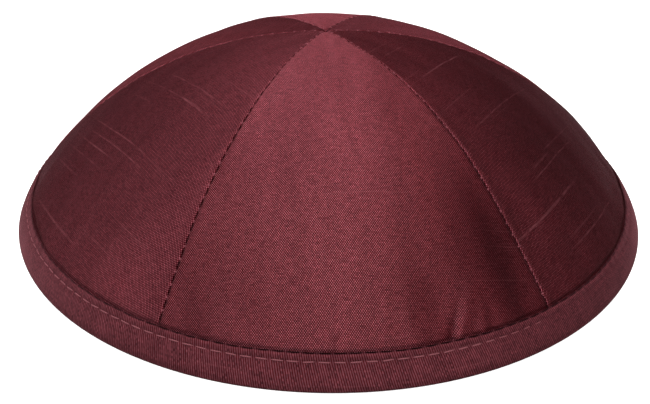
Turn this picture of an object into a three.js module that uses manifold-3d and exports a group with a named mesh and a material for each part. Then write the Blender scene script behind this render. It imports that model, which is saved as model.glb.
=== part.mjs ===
// A kippah: a skullcap of six silk gores with a bound rim, a slack white lining
// and a small spring clip sewn inside at the back.
// Millimetres, +Z up. The origin is the centre of the rim on the surface that it rests on.
// The front gore faces -Y and the clip lies inside the back gore, on +Y.
import * as THREE from 'three';
import { mergeVertices } from 'three/addons/utils/BufferGeometryUtils.js';
import Module from 'manifold-3d';

// Crown
const RIM_RADIUS = 88;
const CAP_HEIGHT = 46.5;
const GORES = 6;
const BAND_HEIGHT = 6.3;
const BAND_FLARE = 0.49;
const CROWN_ROUNDNESS = 2.27;
const CROWN_FULLNESS = 1.086;
const GORE_SWELL = 0.010;
const SWELL_FOOT = 2.2;
const JUNCTION_DRIFT = -1.1;
const PANEL_WALL = 1.2;
const HEM_WALL = 0.8;
const GAP = 0.3;
const LINING_GAP = 0.4;
const TIP_RADIUS = 0.5;
const SEAM_DIP = 0.5;
const SEAM_ROLL = 1.2;
const THINNING = [0.7, 0.84];
const LINE_STEP = 0.002;
const PANEL_ROWS = [11, 2];
const PANEL_COLUMNS = 14;

// Rim binding: a folded strip whose two legs hold the edges of crown and lining
const BINDING_LEG = 1.0;
const BINDING_GAP = 0.25;
const BINDING_FLOOR = 1.0;
const INNER_LEG_TOP = 0.86;
const RIM_STEPS = 72;
// The outer leg's thin top edge, as shares of the leg's thickness: out from the crown, and up
const BINDING_LIP = [[0.8, -0.15], [0.45, 0.3], [0.1, 0]];

// Lining
const LINING_WALL = 1.0;
const LINING_TIP_RADIUS = 0.9;
const LINING_TURN = -6;
const LINING_ROWS = [10, 1];
const LINING_COLUMNS = 10;

// Soft dents where the crown is eased into the binding: angle, half width in degrees, depth
const EASING_DENTS = [
  [-128, 5, 0.45],
  [-108, 4, 0.35],
  [-94, 4.5, 0.5],
  [-78, 4.5, 0.6],
  [-49, 5, 0.45],
  [-20, 5, 0.4],
  [28, 6, 0.45],
  [75, 6, 0.4],
  [118, 5, 0.5],
  [163, 6, 0.45],
];
const EASING_START = 1.5;
const EASING_PEAK = 5;

// Broad soft dents of the crown: angle, height, half width in degrees, half height, depth
const SOFT_DENTS = [
  [-61, 20, 11, 11, 1.4],
  [-113, 15, 9, 8, 0.8],
  [-150, 17, 12, 9, 0.5],
  [57, 18, 12, 10, 0.6],
];
const SOFT_START = 4;

// Soft folds of the slack lining: angle, half width in degrees, height, place from top (0) to rim (1)
const LINING_FOLDS = [
  [52, 11, 2.6, 0.55],
  [90, 9, 2.2, 0.57],
  [131, 12, 2.4, 0.5],
  [176, 10, 2.0, 0.45],
  [214, 13, 1.6, 0.6],
  [270, 16, 1.2, 0.6],
  [325, 13, 1.8, 0.6],
  [8, 9, 2.2, 0.42],
];
const FOLD_REACH = 0.24;
const TUCK_LENGTH = 0.16;

// Clip: measured along its length from the end of the thumb plate
const CLIP_LENGTH = 44;
const CLIP_BOW = 1.6;
const CLIP_START = [78.47, 5.3];
const CLIP_SLOPE = 38.5;
const CLIP_SHEET = 0.8;
const POINT_LENGTH = 7;
const TIP_HALF = 0.5;
const PIVOT_ALONG = 17;
const PIVOT_HEIGHT = 2.2;
const EAR_RADIUS = 1.6;
// The round end of a plate: lengths and half widths as shares of half its width
const ROUND_END = [[0, 0.28], [0.06, 0.52], [0.16, 0.72], [0.3, 0.87], [0.48, 0.96], [0.75, 1]];

const TAIL_WIDTH = 9;
const TAIL_TAPER = [9, 13.5];
const BASE_EARS = [2.45, 3.1];
const BASE_SHOULDER = [20, 21.5];
const BASE_WIDTH = 4.4;
const BASE_STATIONS = [0, 6, 12, 18, 24, 30, 36, 40, CLIP_LENGTH];

const THUMB_WIDTH = 13;
const THUMB_LIFT = 4.8;
const THUMB_CURL = 0.3;
const THUMB_FLAT = [1.2, 5];
const THUMB_SAG = 0.5;
const THUMB_END = 11;
const THUMB_SHOULDER = [[12.5, 5.3], [13.5, 2.2]];
const THUMB_LIP = 1.3;
const HUMP_REACH = 2.4;
const LEVER_EARS = [1.65, 2.2];
// The neck's heights over the prong's line, at lengths along the clip
const NECK = [[21.5, 1.5], [24, 0.4]];
const NECK_END = 24.5;
const PRONG_WIDTH = 5.6;
const PRONG_NARROW = 3;
const PRONG_STATIONS = [26, 31, 36, 40, CLIP_LENGTH];
const PRESSED_DEPTH = 0.35;
const VALLEY = [6, 14.4];
const GROOVE = [27, 36.5];

const PIN_RADIUS = 0.7;
const PIN_CLEARANCE = 0.15;
const PIN_HEAD = 1.15;
const PIN_HEAD_DEPTH = 0.5;
const PIN_END_GAP = 0.25;
const PIN_SIDES = 16;
const SPRING_WIRE = 0.24;
const WIRE_SIDES = 6;
const SPRING_RADIUS = 1.25;
const SPRING_TURNS = 3;
const SPRING_SLACK = 0.35;
const STEPS_PER_TURN = 10;
const CURVE_STEPS = 8;
const JOIN_DISTANCE = 1e-4;

const RAD = Math.PI / 180;

const material = (color, roughness, metalness = 0) =>
  new THREE.MeshStandardMaterial({ color, roughness, metalness });
const silk = () => material(0x5c1f2b, 0.55);
const bindingSilk = () => material(0x6b2634, 0.6);
const satin = () => material(0xd9d8d6, 0.4);
const steel = () => material(0xb9bcbe, 0.28, 1);
const darkSteel = () => material(0x3c3d40, 0.35, 1);

// The crown's outer line seen from the side, as [radius, height].
// From v 0 to 1 it is a superellipse from the top to the binding, from 1 to 2 the straight flared hem.
const HEM_FOOT = BINDING_FLOOR + GAP;
const FOOT_ROUND = 0.5;
const BAND_RADIUS = RIM_RADIUS - BAND_FLARE * (BAND_HEIGHT - FOOT_ROUND)
  - (BINDING_LEG + BINDING_GAP) * Math.hypot(1, BAND_FLARE);
function crownLine(v) {
  if (v > 1) {
    const height = THREE.MathUtils.lerp(BAND_HEIGHT, HEM_FOOT, v - 1);
    return [BAND_RADIUS + BAND_FLARE * (BAND_HEIGHT - height), height];
  }
  const turn = v * Math.PI / 2;
  const radius = BAND_RADIUS * Math.sin(turn) ** (2 / CROWN_ROUNDNESS);
  const rise = Math.cos(turn) ** (2 / CROWN_FULLNESS);
  return [radius, BAND_HEIGHT + (CAP_HEIGHT - BAND_HEIGHT) * rise];
}

// The same line at a depth under the cloth's outer face; the hem is measured level, so that it ends flat
function crownOffset(v, depth) {
  const [r, z] = crownLine(v);
  if (v > 1) return [r - depth * Math.hypot(1, BAND_FLARE), z];
  const above = crownLine(Math.max(v - LINE_STEP, 0));
  const below = crownLine(v + LINE_STEP);
  const before = new THREE.Vector2(r - above[0], z - above[1]).normalize();
  const after = new THREE.Vector2(below[0] - r, below[1] - z).normalize();
  const along = before.add(after).normalize();
  return [r + depth * along.y, z - depth * along.x];
}

// Place from 0 at the top to 1 at the binding of a radius on the crown
const lineAt = (radius) => Math.asin((radius / BAND_RADIUS) ** (CROWN_ROUNDNESS / 2)) * 2 / Math.PI;

const bump = (offset, width) => Math.exp(-((offset / width) ** 2));
const turnBetween = (a, b) => THREE.MathUtils.euclideanModulo(a - b + 180, 360) - 180;

const sumOver = (table, value) => table.reduce((sum, row) => sum + value(...row), 0);

function easingDepth(angle, height) {
  const above = height - BAND_HEIGHT;
  const rise = THREE.MathUtils.smoothstep(above, EASING_START, EASING_PEAK);
  const eased = sumOver(EASING_DENTS, (at, half, depth) => depth * bump(turnBetween(angle, at), half));
  const soft = sumOver(SOFT_DENTS, (at, level, half, tall, depth) =>
    depth * bump(turnBetween(angle, at), half) * bump(height - level, tall));
  return eased * rise * bump(above - EASING_PEAK, EASING_PEAK)
    + soft * THREE.MathUtils.smoothstep(above, 0, SOFT_START);
}

function liningSlack(angle, v) {
  const tucked = THREE.MathUtils.smoothstep(INNER_LEG_TOP - v, 0, TUCK_LENGTH);
  return tucked * sumOver(LINING_FOLDS, (at, half, height, place) =>
    height * bump(turnBetween(angle, at), half) * bump(v - place, FOLD_REACH));
}

// The walls thin down where they run into the binding
function wallAt(wall, v) {
  return THREE.MathUtils.lerp(wall, HEM_WALL, THREE.MathUtils.smoothstep(v, ...THINNING));
}

// A point of the cap at an angle in degrees: the gores swell at their seams and the top drifts sideways
function capPoint(angle, radius, height) {
  const share = Math.min(radius / BAND_RADIUS, 1);
  const swell = 1 + GORE_SWELL * Math.cos(GORES * angle * RAD) * Math.sin(Math.PI * share ** SWELL_FOOT);
  const drift = JUNCTION_DRIFT * (1 - share ** 2) ** 2;
  return new THREE.Vector3(
    radius * swell * Math.cos(angle * RAD) + drift,
    radius * swell * Math.sin(angle * RAD),
    height,
  );
}

// Angles across one gore: a narrow column along each seam, and even ones between
function goreAngles(centre, radius, columns) {
  const half = 180 / GORES - Math.asin(GAP / 2 / radius) / RAD;
  const edge = Math.min(SEAM_ROLL / radius / RAD, half / 3);
  const inner = Array.from({ length: columns - 1 }, (_, i) =>
    THREE.MathUtils.lerp(edge - half, half - edge, i / (columns - 2)));
  return [-half, ...inner, half].map((offset) => centre + offset);
}

// One closed body from an outer and an inner grid of points, given as rows from the top down
function shell(outer, inner) {
  const rows = outer.length;
  const columns = outer[0].length;
  const points = [...outer.flat(), ...inner.flat()];
  const under = rows * columns;
  const faces = [];
  const quad = (a, b, c, d) => faces.push(a, b, c, a, c, d);
  const id = (row, column) => row * columns + column;
  for (let i = 0; i < rows - 1; i += 1) {
    for (let j = 0; j < columns - 1; j += 1) {
      quad(id(i, j), id(i + 1, j), id(i + 1, j + 1), id(i, j + 1));
      quad(under + id(i, j + 1), under + id(i + 1, j + 1), under + id(i + 1, j), under + id(i, j));
    }
    const last = columns - 1;
    quad(id(i, 0), under + id(i, 0), under + id(i + 1, 0), id(i + 1, 0));
    quad(id(i, last), id(i + 1, last), under + id(i + 1, last), under + id(i, last));
  }
  for (let j = 0; j < columns - 1; j += 1) {
    const last = rows - 1;
    quad(id(0, j), id(0, j + 1), under + id(0, j + 1), under + id(0, j));
    quad(id(last, j), under + id(last, j), under + id(last, j + 1), id(last, j + 1));
  }
  return indexed(points, faces);
}

function indexed(points, faces) {
  const geometry = new THREE.BufferGeometry().setFromPoints(points);
  geometry.setIndex(faces);
  geometry.computeVertexNormals();
  return geometry;
}

// Places of a gore's rows, from its tip down the dome to the binding and on down the hem
function crownRows(tipRadius, [domeRows, hemRows]) {
  const top = lineAt(tipRadius);
  const dome = Array.from({ length: domeRows }, (_, i) => THREE.MathUtils.lerp(top, 1, i / domeRows));
  const hem = Array.from({ length: hemRows + 1 }, (_, i) => 1 + i / hemRows);
  return [...dome, ...hem];
}

// A face of a gore at a given depth, which may change with the angle and the place along the line
function goreFace(centre, rows, columns, depthAt) {
  return rows.map((v) => {
    const [middle] = crownOffset(v, depthAt(centre, v, SEAM_ROLL));
    const angles = goreAngles(centre, middle, columns);
    const edges = [angles[0], angles[columns]];
    return angles.map((angle) => {
      const toEdge = Math.min(angle - edges[0], edges[1] - angle) * RAD * middle;
      const [radius, height] = crownOffset(v, depthAt(angle, v, toEdge));
      return capPoint(angle, radius, height);
    });
  });
}

const panelRows = crownRows(TIP_RADIUS, PANEL_ROWS);
function crownPanel(centre) {
  const outerDepth = (angle, v, toEdge) => {
    const seam = v > 1 ? 0 : SEAM_DIP * bump(toEdge, SEAM_ROLL / 2);
    return seam + easingDepth(angle, crownLine(v)[1]);
  };
  const innerDepth = (angle, v) => wallAt(PANEL_WALL, v) + easingDepth(angle, crownLine(v)[1]);
  return shell(
    goreFace(centre, panelRows, PANEL_COLUMNS, outerDepth),
    goreFace(centre, panelRows, PANEL_COLUMNS, innerDepth),
  );
}

const liningRows = crownRows(LINING_TIP_RADIUS, LINING_ROWS);
function liningDepth(angle, v) {
  const easing = easingDepth(angle, crownLine(v)[1]);
  const gap = v < 1 ? LINING_GAP : GAP;
  return wallAt(PANEL_WALL, v) + gap + easing + liningSlack(angle, v);
}
function liningPanel(centre) {
  const innerDepth = (angle, v) => liningDepth(angle, v) + wallAt(LINING_WALL, v);
  return shell(
    goreFace(centre, liningRows, LINING_COLUMNS, liningDepth),
    goreFace(centre, liningRows, LINING_COLUMNS, innerDepth),
  );
}

// The binding's section as [radius, height], counterclockwise from its outer foot.
// Its outer leg is straight and flared, its inner leg follows the crown's line up inside the lining.
const LEG_IN = 2 * HEM_WALL + LINING_GAP + 2 * GAP;
function bindingSection() {
  const outerFace = (height) => [RIM_RADIUS - BAND_FLARE * (height - FOOT_ROUND), height];
  const hemFace = (height, depth) => {
    const flat = depth * Math.hypot(1, BAND_FLARE);
    return [BAND_RADIUS + BAND_FLARE * (BAND_HEIGHT - height) - flat, height];
  };
  const legTop = BAND_RADIUS + BINDING_GAP;
  const [foldRadius, foldHeight] = crownOffset(INNER_LEG_TOP, LEG_IN + BINDING_LEG / 2);
  const innerOut = LEG_IN + BINDING_LEG;
  return [
    [RIM_RADIUS - FOOT_ROUND, 0],
    outerFace(FOOT_ROUND),
    outerFace(BAND_HEIGHT - BINDING_LEG),
    ...BINDING_LIP.map(([out, up]) => [legTop + BINDING_LEG * out, BAND_HEIGHT + BINDING_LEG * up]),
    hemFace(BINDING_FLOOR, -BINDING_GAP),
    hemFace(BINDING_FLOOR, LEG_IN),
    crownOffset(1, LEG_IN),
    crownOffset(INNER_LEG_TOP, LEG_IN),
    [foldRadius, foldHeight + BINDING_LEG / 3],
    crownOffset(INNER_LEG_TOP, innerOut),
    crownOffset(1, innerOut),
    [hemFace(0, innerOut)[0] + FOOT_ROUND / 2, 0],
  ];
}

function rimBinding() {
  const section = bindingSection();
  const count = section.length;
  const points = [];
  const faces = [];
  for (let i = 0; i < RIM_STEPS; i += 1) {
    const angle = i / RIM_STEPS * 2 * Math.PI;
    section.forEach(([radius, height]) =>
      points.push(new THREE.Vector3(radius * Math.cos(angle), radius * Math.sin(angle), height)));
    for (let k = 0; k < count; k += 1) {
      const a = i * count + k;
      const b = i * count + (k + 1) % count;
      const c = (i + 1) % RIM_STEPS * count + (k + 1) % count;
      const d = (i + 1) % RIM_STEPS * count + k;
      faces.push(a, d, c, a, c, b);
    }
  }
  return indexed(points, faces);
}

// Solids of the clip are cut and joined from plain extrusions
const wasm = await Module();
wasm.setup();

function toSolid(geometry) {
  geometry.deleteAttribute('normal');
  geometry.deleteAttribute('uv');
  const merged = mergeVertices(geometry, JOIN_DISTANCE);
  const vertProperties = Float32Array.from(merged.attributes.position.array);
  const triVerts = Uint32Array.from(merged.index.array);
  return new wasm.Manifold(new wasm.Mesh({ numProp: 3, vertProperties, triVerts }));
}

function toGeometry(solid) {
  const { vertProperties, triVerts } = solid.getMesh();
  const geometry = new THREE.BufferGeometry();
  geometry.setAttribute('position', new THREE.BufferAttribute(vertProperties, 3));
  geometry.setIndex(new THREE.BufferAttribute(triVerts, 1));
  geometry.computeVertexNormals();
  return geometry;
}

function extruded(shape, depth) {
  return new THREE.ExtrudeGeometry(shape, { depth, bevelEnabled: false, curveSegments: CURVE_STEPS });
}

// A side outline, drawn as (length, height), made solid from x0 to x1 across the clip
function acrossSolid(shape, x0, x1) {
  const geometry = extruded(shape, x1 - x0);
  const place = new THREE.Matrix4().makeBasis(
    new THREE.Vector3(0, 1, 0), new THREE.Vector3(0, 0, 1), new THREE.Vector3(1, 0, 0));
  geometry.applyMatrix4(place);
  geometry.translate(x0, 0, 0);
  return toSolid(geometry);
}

// A plan outline, drawn as (width, length), made solid between two heights
function planSolid(shape, z0, z1) {
  const geometry = extruded(shape, z1 - z0);
  geometry.translate(0, 0, z0);
  return toSolid(geometry);
}

const clipBow = (along) => -CLIP_BOW * (1 - (2 * along / CLIP_LENGTH - 1) ** 2);

// A bent sheet: the under face's heights at a few lengths, and the sheet's thickness
function sheetOutline(stations) {
  const under = stations.map(([along, height]) => new THREE.Vector2(along, height));
  const over = stations.map(([along, height]) => new THREE.Vector2(along, height + CLIP_SHEET));
  return new THREE.Shape([...under, ...over.reverse()]);
}

// A plan outline from half widths at lengths, mirrored about the middle line
function taperOutline(halves) {
  const right = halves.map(([along, half]) => new THREE.Vector2(half, along));
  const left = halves.map(([along, half]) => new THREE.Vector2(-half, along)).reverse();
  return new THREE.Shape([...right, ...left]);
}

const PIVOT_UP = clipBow(PIVOT_ALONG) + CLIP_SHEET + PIVOT_HEIGHT;
const roundEnd = (width) => ROUND_END.map(([share, half]) => [share * width / 2, half * width / 2]);
const raised = (line, height) => line.map(([along, up]) => [along, up + height]);
const onBow = (lengths, height) => lengths.map((along) => [along, clipBow(along) + height]);

// An ear stands on its foot, or hangs from it, and is round about the pin's hole
function earOutline(foot) {
  const hangs = foot > PIVOT_UP;
  const outline = new THREE.Shape();
  outline.moveTo(PIVOT_ALONG + EAR_RADIUS, foot);
  outline.lineTo(PIVOT_ALONG + EAR_RADIUS, PIVOT_UP);
  outline.absarc(PIVOT_ALONG, PIVOT_UP, EAR_RADIUS, 0, hangs ? -Math.PI : Math.PI, hangs);
  outline.lineTo(PIVOT_ALONG - EAR_RADIUS, foot);
  const hole = new THREE.Path();
  hole.absarc(PIVOT_ALONG, PIVOT_UP, PIN_RADIUS + PIN_CLEARANCE, 0, 2 * Math.PI);
  outline.holes.push(hole);
  return outline;
}

function addEars(solid, [from, to], foot) {
  return solid
    .add(acrossSolid(earOutline(foot), from, to))
    .add(acrossSolid(earOutline(foot), -to, -from));
}

function clipBase() {
  const sheet = acrossSolid(sheetOutline(onBow(BASE_STATIONS, 0)), -TAIL_WIDTH, TAIL_WIDTH);
  const plan = taperOutline([
    ...roundEnd(TAIL_WIDTH),
    [TAIL_TAPER[0], TAIL_WIDTH / 2],
    [TAIL_TAPER[1], BASE_EARS[1]],
    [BASE_SHOULDER[0], BASE_EARS[1]],
    [BASE_SHOULDER[1], BASE_WIDTH / 2],
    [CLIP_LENGTH - POINT_LENGTH, BASE_WIDTH / 2],
    [CLIP_LENGTH, TIP_HALF],
  ]);
  const cut = planSolid(plan, -THUMB_WIDTH, THUMB_WIDTH);
  return toGeometry(addEars(sheet.intersect(cut), BASE_EARS, clipBow(PIVOT_ALONG) + CLIP_SHEET / 2));
}

// The lever's under face: thumb plate, hump over the pin, neck, then the prong lying along the base
const RIDE = CLIP_SHEET + GAP;
const HUMP = PIVOT_UP + SPRING_RADIUS + SPRING_WIRE + GAP;
const THUMB_LINE = [
  [0, THUMB_LIFT + THUMB_CURL],
  [THUMB_FLAT[0], THUMB_LIFT],
  [THUMB_FLAT[1], THUMB_LIFT - THUMB_SAG],
  [THUMB_END, HUMP + THUMB_CURL],
  [PIVOT_ALONG - HUMP_REACH, HUMP],
];
const HUMP_END = [PIVOT_ALONG + EAR_RADIUS - PIN_CLEARANCE, HUMP - PIN_CLEARANCE];
const PRONG_LINE = onBow(PRONG_STATIONS, RIDE);

function thumbLips() {
  const sides = THUMB_LINE.slice(2, 4);
  const upper = raised(sides, CLIP_SHEET / 2);
  const lower = raised(sides, -THUMB_LIP).reverse();
  const outline = new THREE.Shape([...upper, ...lower].map(([along, up]) => new THREE.Vector2(along, up)));
  const edge = THUMB_WIDTH / 2;
  return acrossSolid(outline, edge - CLIP_SHEET, edge).add(acrossSolid(outline, -edge, CLIP_SHEET - edge));
}

// A shallow pressed hollow in a sheet's upper face, within a plan outline
function pressed(line, outline) {
  const floor = sheetOutline(raised(line, CLIP_SHEET - PRESSED_DEPTH));
  const layer = acrossSolid(floor, -THUMB_WIDTH, THUMB_WIDTH);
  return layer.intersect(planSolid(taperOutline(outline), -THUMB_WIDTH, THUMB_WIDTH));
}

function clipLever() {
  const neck = NECK.map(([along, over]) => [along, clipBow(along) + RIDE + over]);
  const side = sheetOutline([...THUMB_LINE, HUMP_END, ...neck, ...PRONG_LINE]);
  const plan = taperOutline([
    ...roundEnd(THUMB_WIDTH),
    [THUMB_END, THUMB_WIDTH / 2],
    ...THUMB_SHOULDER,
    [NECK[0][0], LEVER_EARS[1]],
    [NECK_END, PRONG_WIDTH / 2],
    [CLIP_LENGTH - POINT_LENGTH, PRONG_WIDTH / 2],
    [CLIP_LENGTH - PRONG_NARROW, PRONG_WIDTH / 4],
    [CLIP_LENGTH, TIP_HALF],
  ]);
  const cut = planSolid(plan, -THUMB_WIDTH, THUMB_WIDTH);
  const sheet = acrossSolid(side, -THUMB_WIDTH, THUMB_WIDTH).intersect(cut);
  const valley = pressed(THUMB_LINE.slice(2), [[VALLEY[0], THUMB_WIDTH / 4], [VALLEY[1], LEVER_EARS[1] / 2]]);
  const groove = pressed(PRONG_LINE, GROOVE.map((along) => [along, PRONG_WIDTH / 6]));
  const body = addEars(sheet, LEVER_EARS, HUMP + CLIP_SHEET / 2);
  return toGeometry(body.add(thumbLips()).subtract(valley).subtract(groove));
}

function clipPin() {
  const half = BASE_EARS[1] + PIN_END_GAP;
  const end = half + PIN_HEAD_DEPTH;
  const outline = [
    [0, -end],
    [PIN_HEAD, -end],
    [PIN_HEAD, -half],
    [PIN_RADIUS, -half],
    [PIN_RADIUS, half],
    [PIN_HEAD, half],
    [PIN_HEAD, end],
    [0, end],
  ].map(([radius, along]) => new THREE.Vector2(radius, along));
  const geometry = new THREE.LatheGeometry(outline, PIN_SIDES);
  geometry.rotateZ(-Math.PI / 2);
  geometry.translate(0, PIVOT_ALONG, PIVOT_UP);
  return toGeometry(toSolid(geometry));
}

// The spring's middle line: it starts on top of the pin and winds across
class SpringLine extends THREE.Curve {
  getPoint(t, target = new THREE.Vector3()) {
    const angle = Math.PI / 2 + t * SPRING_TURNS * 2 * Math.PI;
    return target.set(
      (t - 1 / 2) * (SPRING_TURNS * 2 * SPRING_WIRE + SPRING_SLACK),
      PIVOT_ALONG + SPRING_RADIUS * Math.cos(angle),
      PIVOT_UP + SPRING_RADIUS * Math.sin(angle),
    );
  }
}

function clipSpring() {
  const wire = new THREE.Shape(Array.from({ length: WIRE_SIDES }, (_, i) => {
    const angle = i * 2 * Math.PI / WIRE_SIDES;
    return new THREE.Vector2(SPRING_WIRE * Math.cos(angle), SPRING_WIRE * Math.sin(angle));
  }));
  const steps = STEPS_PER_TURN * SPRING_TURNS;
  const options = { steps, extrudePath: new SpringLine(), bevelEnabled: false };
  return toGeometry(toSolid(new THREE.ExtrudeGeometry(wire, options)));
}

const named = (name, geometry, look) => {
  const mesh = new THREE.Mesh(geometry, look);
  mesh.name = name;
  return mesh;
};

const GORE_NAMES = ['front', 'front_right', 'back_right', 'back', 'back_left', 'front_left'];
const kippah = new THREE.Group();
GORE_NAMES.forEach((name, i) => {
  const centre = -90 + i * 360 / GORES;
  kippah.add(named(`crown_panel_${name}`, crownPanel(centre), silk()));
  kippah.add(named(`lining_panel_${name}`, liningPanel(centre + LINING_TURN), satin()));
});
kippah.add(named('rim_binding', rimBinding(), bindingSilk()));

const clip = new THREE.Group();
clip.add(named('clip_base', clipBase(), darkSteel()));
clip.add(named('clip_lever', clipLever(), steel()));
clip.add(named('clip_pin', clipPin(), steel()));
clip.add(named('clip_spring', clipSpring(), darkSteel()));
clip.position.set(0, ...CLIP_START);
clip.rotation.x = (180 - CLIP_SLOPE) * RAD;
kippah.add(clip);

export default kippah;
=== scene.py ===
"""A kippah of six wine silk gores with a bound, topstitched rim, a slack white satin
lining and a small spring clip sewn inside at the back, on a pale studio floor.

Shapes are worked out in millimetres as whole numpy arrays and put into the meshes in metres.
The front gore faces -Y, the clip lies inside the back gore on +Y, and the rim rests on z = 0.
"""
import math

import bpy
import numpy as np
from mathutils import Matrix, Vector


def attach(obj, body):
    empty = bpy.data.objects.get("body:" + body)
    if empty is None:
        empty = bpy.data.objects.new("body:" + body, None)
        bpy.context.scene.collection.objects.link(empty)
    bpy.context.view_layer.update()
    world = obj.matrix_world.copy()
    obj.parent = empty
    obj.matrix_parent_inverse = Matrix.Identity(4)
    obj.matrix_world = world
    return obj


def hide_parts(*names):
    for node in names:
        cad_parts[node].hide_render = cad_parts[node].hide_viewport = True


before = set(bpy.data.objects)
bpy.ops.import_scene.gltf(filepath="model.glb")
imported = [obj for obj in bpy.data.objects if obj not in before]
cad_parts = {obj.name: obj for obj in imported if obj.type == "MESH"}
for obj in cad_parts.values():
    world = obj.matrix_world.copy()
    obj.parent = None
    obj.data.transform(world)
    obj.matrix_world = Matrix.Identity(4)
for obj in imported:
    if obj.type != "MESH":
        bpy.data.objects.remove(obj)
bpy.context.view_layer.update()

MM = 0.001

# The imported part's own sizes
RIM_RADIUS = 88.0
RIM_ROUND = 2 * math.pi * RIM_RADIUS
CAP_HEIGHT = 46.5
GORES = 6
GORE_STEP = 360 / GORES
FRONT = -90
BAND_HEIGHT = 6.3
BAND_FLARE = 0.49
BAND_SLANT = math.hypot(1, BAND_FLARE)
CROWN_ROUNDNESS = 2.27
CROWN_FULLNESS = 1.086
GORE_SWELL = 0.010
SWELL_FOOT = 2.2
JUNCTION_DRIFT = -1.1
PANEL_WALL = 1.2
HEM_WALL = 0.8
HEM_GAP = 0.3
THINNING = (0.7, 0.84)
LINING_GAP = 0.4
LINING_WALL = 1.0
LINING_TURN = -6.0
FOOT_ROUND = 0.5
BINDING_LEG = 1.0
BINDING_GAP = 0.25
HEM_FOOT = 1.3
INNER_LEG_TOP = 0.86
LEG_IN = 2.6
BAND_RADIUS = RIM_RADIUS - BAND_FLARE * (BAND_HEIGHT - FOOT_ROUND) - (BINDING_LEG + BINDING_GAP) * BAND_SLANT

# Where the crown is eased into the binding: angle, half width in degrees, depth in mm; then how high above
# the binding the dents start and are deepest
EASING_DENTS = [(-128, 5, 0.45), (-108, 4, 0.35), (-94, 4.5, 0.5), (-78, 4.5, 0.6), (-49, 5, 0.45),
                (-20, 5, 0.4), (28, 6, 0.45), (75, 6, 0.4), (118, 5, 0.5), (163, 6, 0.45)]
EASING_START = 1.5
EASING_DEEPEST = 5

# Broad soft dents of the crown: angle, height, half width in degrees, half height and depth in mm; then
# how high above the binding they are at their full depth
SOFT_DENTS = [(-61, 20, 11, 11, 1.4), (-113, 15, 9, 8, 0.8), (-150, 17, 12, 9, 0.5), (57, 18, 12, 10, 0.6)]
SOFT_DENTS_FULL = 4

# Folds of the slack lining: angle, half width in degrees, height in mm, place from top (0) to rim (1)
LINING_FOLDS = [(52, 11, 2.6, 0.55), (90, 9, 2.2, 0.57), (131, 12, 2.4, 0.5), (176, 10, 2.0, 0.45),
                (214, 13, 1.6, 0.6), (270, 16, 1.2, 0.6), (325, 13, 1.8, 0.6), (8, 9, 2.2, 0.42)]
FOLD_REACH = 0.24
FOLD_LEAN = 9

# Creases of the slack lining in plan: from x, y to x, y in mm, height, reach of the steep side (on the
# left of that direction) and of the soft side; and the patches pulled up: x, y, half sizes and height
LINING_CREASES = [
    (56, 50, 20, 15, 4.4, 1.1, 9.0), (-46, 4, -5, -1, 3.4, 0.9, 4.0), (60, -20, 14, 0, 3.4, 1.0, 5.0),
    (-68, 11, -12, 1, 4.4, 1.0, 5.5),
    (-70, -6, -32, -8, 2.2, 1.2, 4.0), (-58, 32, -26, 11, 2.8, 1.3, 5.0), (-27, 52, -12, 20, 2.2, 2.2, 5.5),
    (45, -37, 20, -14, 1.7, 1.1, 3.5), (31, -50, 14, -20, 1.4, 1.0, 3.5), (-40, -42, -20, -20, 1.4, 1.1, 4.0),
    (20, 44, 9, 16, 1.7, 1.8, 4.5)]
CREASE_BEND = 2.5
LINING_PULLS = [(12, 67, 4.0, 6.0, 1.8), (-12, 67, 4.5, 7.0, 2.0)]

# Sewing
SEAM_PITCH = 2.9
SEAM_ROLL = 0.38
SEAM_THREAD = 0.2
SEAM_CLEARANCE = 0.03
ALLOWANCE = 5.0
TOPSTITCH_PITCH = 3.3
TOPSTITCHES = round(RIM_ROUND / TOPSTITCH_PITCH)
TOPSTITCH_STEP = 360 / TOPSTITCHES
EVEN_PITCH = RIM_ROUND / TOPSTITCHES
TOPSTITCH_LENGTH = 2.95
TOPSTITCH_INSET = 1.8
TOPSTITCH_THREAD = 0.15

# How dark the painted shade along the sewn edges of each gore is, left and right as seen from outside with
# the rim down; below zero is a painted highlight on a narrow ridge by the edge
EDGE_SHADES = {"front": (0.2, 0.7), "front_right": (-0.12, -0.4), "back_right": (0.2, 0.3),
               "back": (0.5, 0.5), "back_left": (0.3, 0.2), "front_left": (-0.4, 0.5)}

# Small creases that run up from the binding: angle, lean in degrees per mm, reach in mm, depth in mm
FOOT_CREASES = [(-77.4, 0.42, 3.6, 0.6), (-94.2, 0.0, 6.0, 0.3), (-73.4, 0.25, 3.2, 0.25)]

# Broad patches of painted shade, or painted highlight below zero, where the cloth is turned from or towards
# the light: angle, height, half width in degrees, half height in mm, strength
PAINTED_LIGHT_PATCHES = [(-65, 19, 7, 11, 0.38), (-113, 13, 8, 9, 0.2), (-92, 38, 30, 12, -0.14),
                  (-92, 24, 12, 9, -0.1), (-128, 11, 7, 6, -0.14), (-36, 27, 20, 11, 0.24),
                  (-135, 28, 12, 9, 0.1)]

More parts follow.
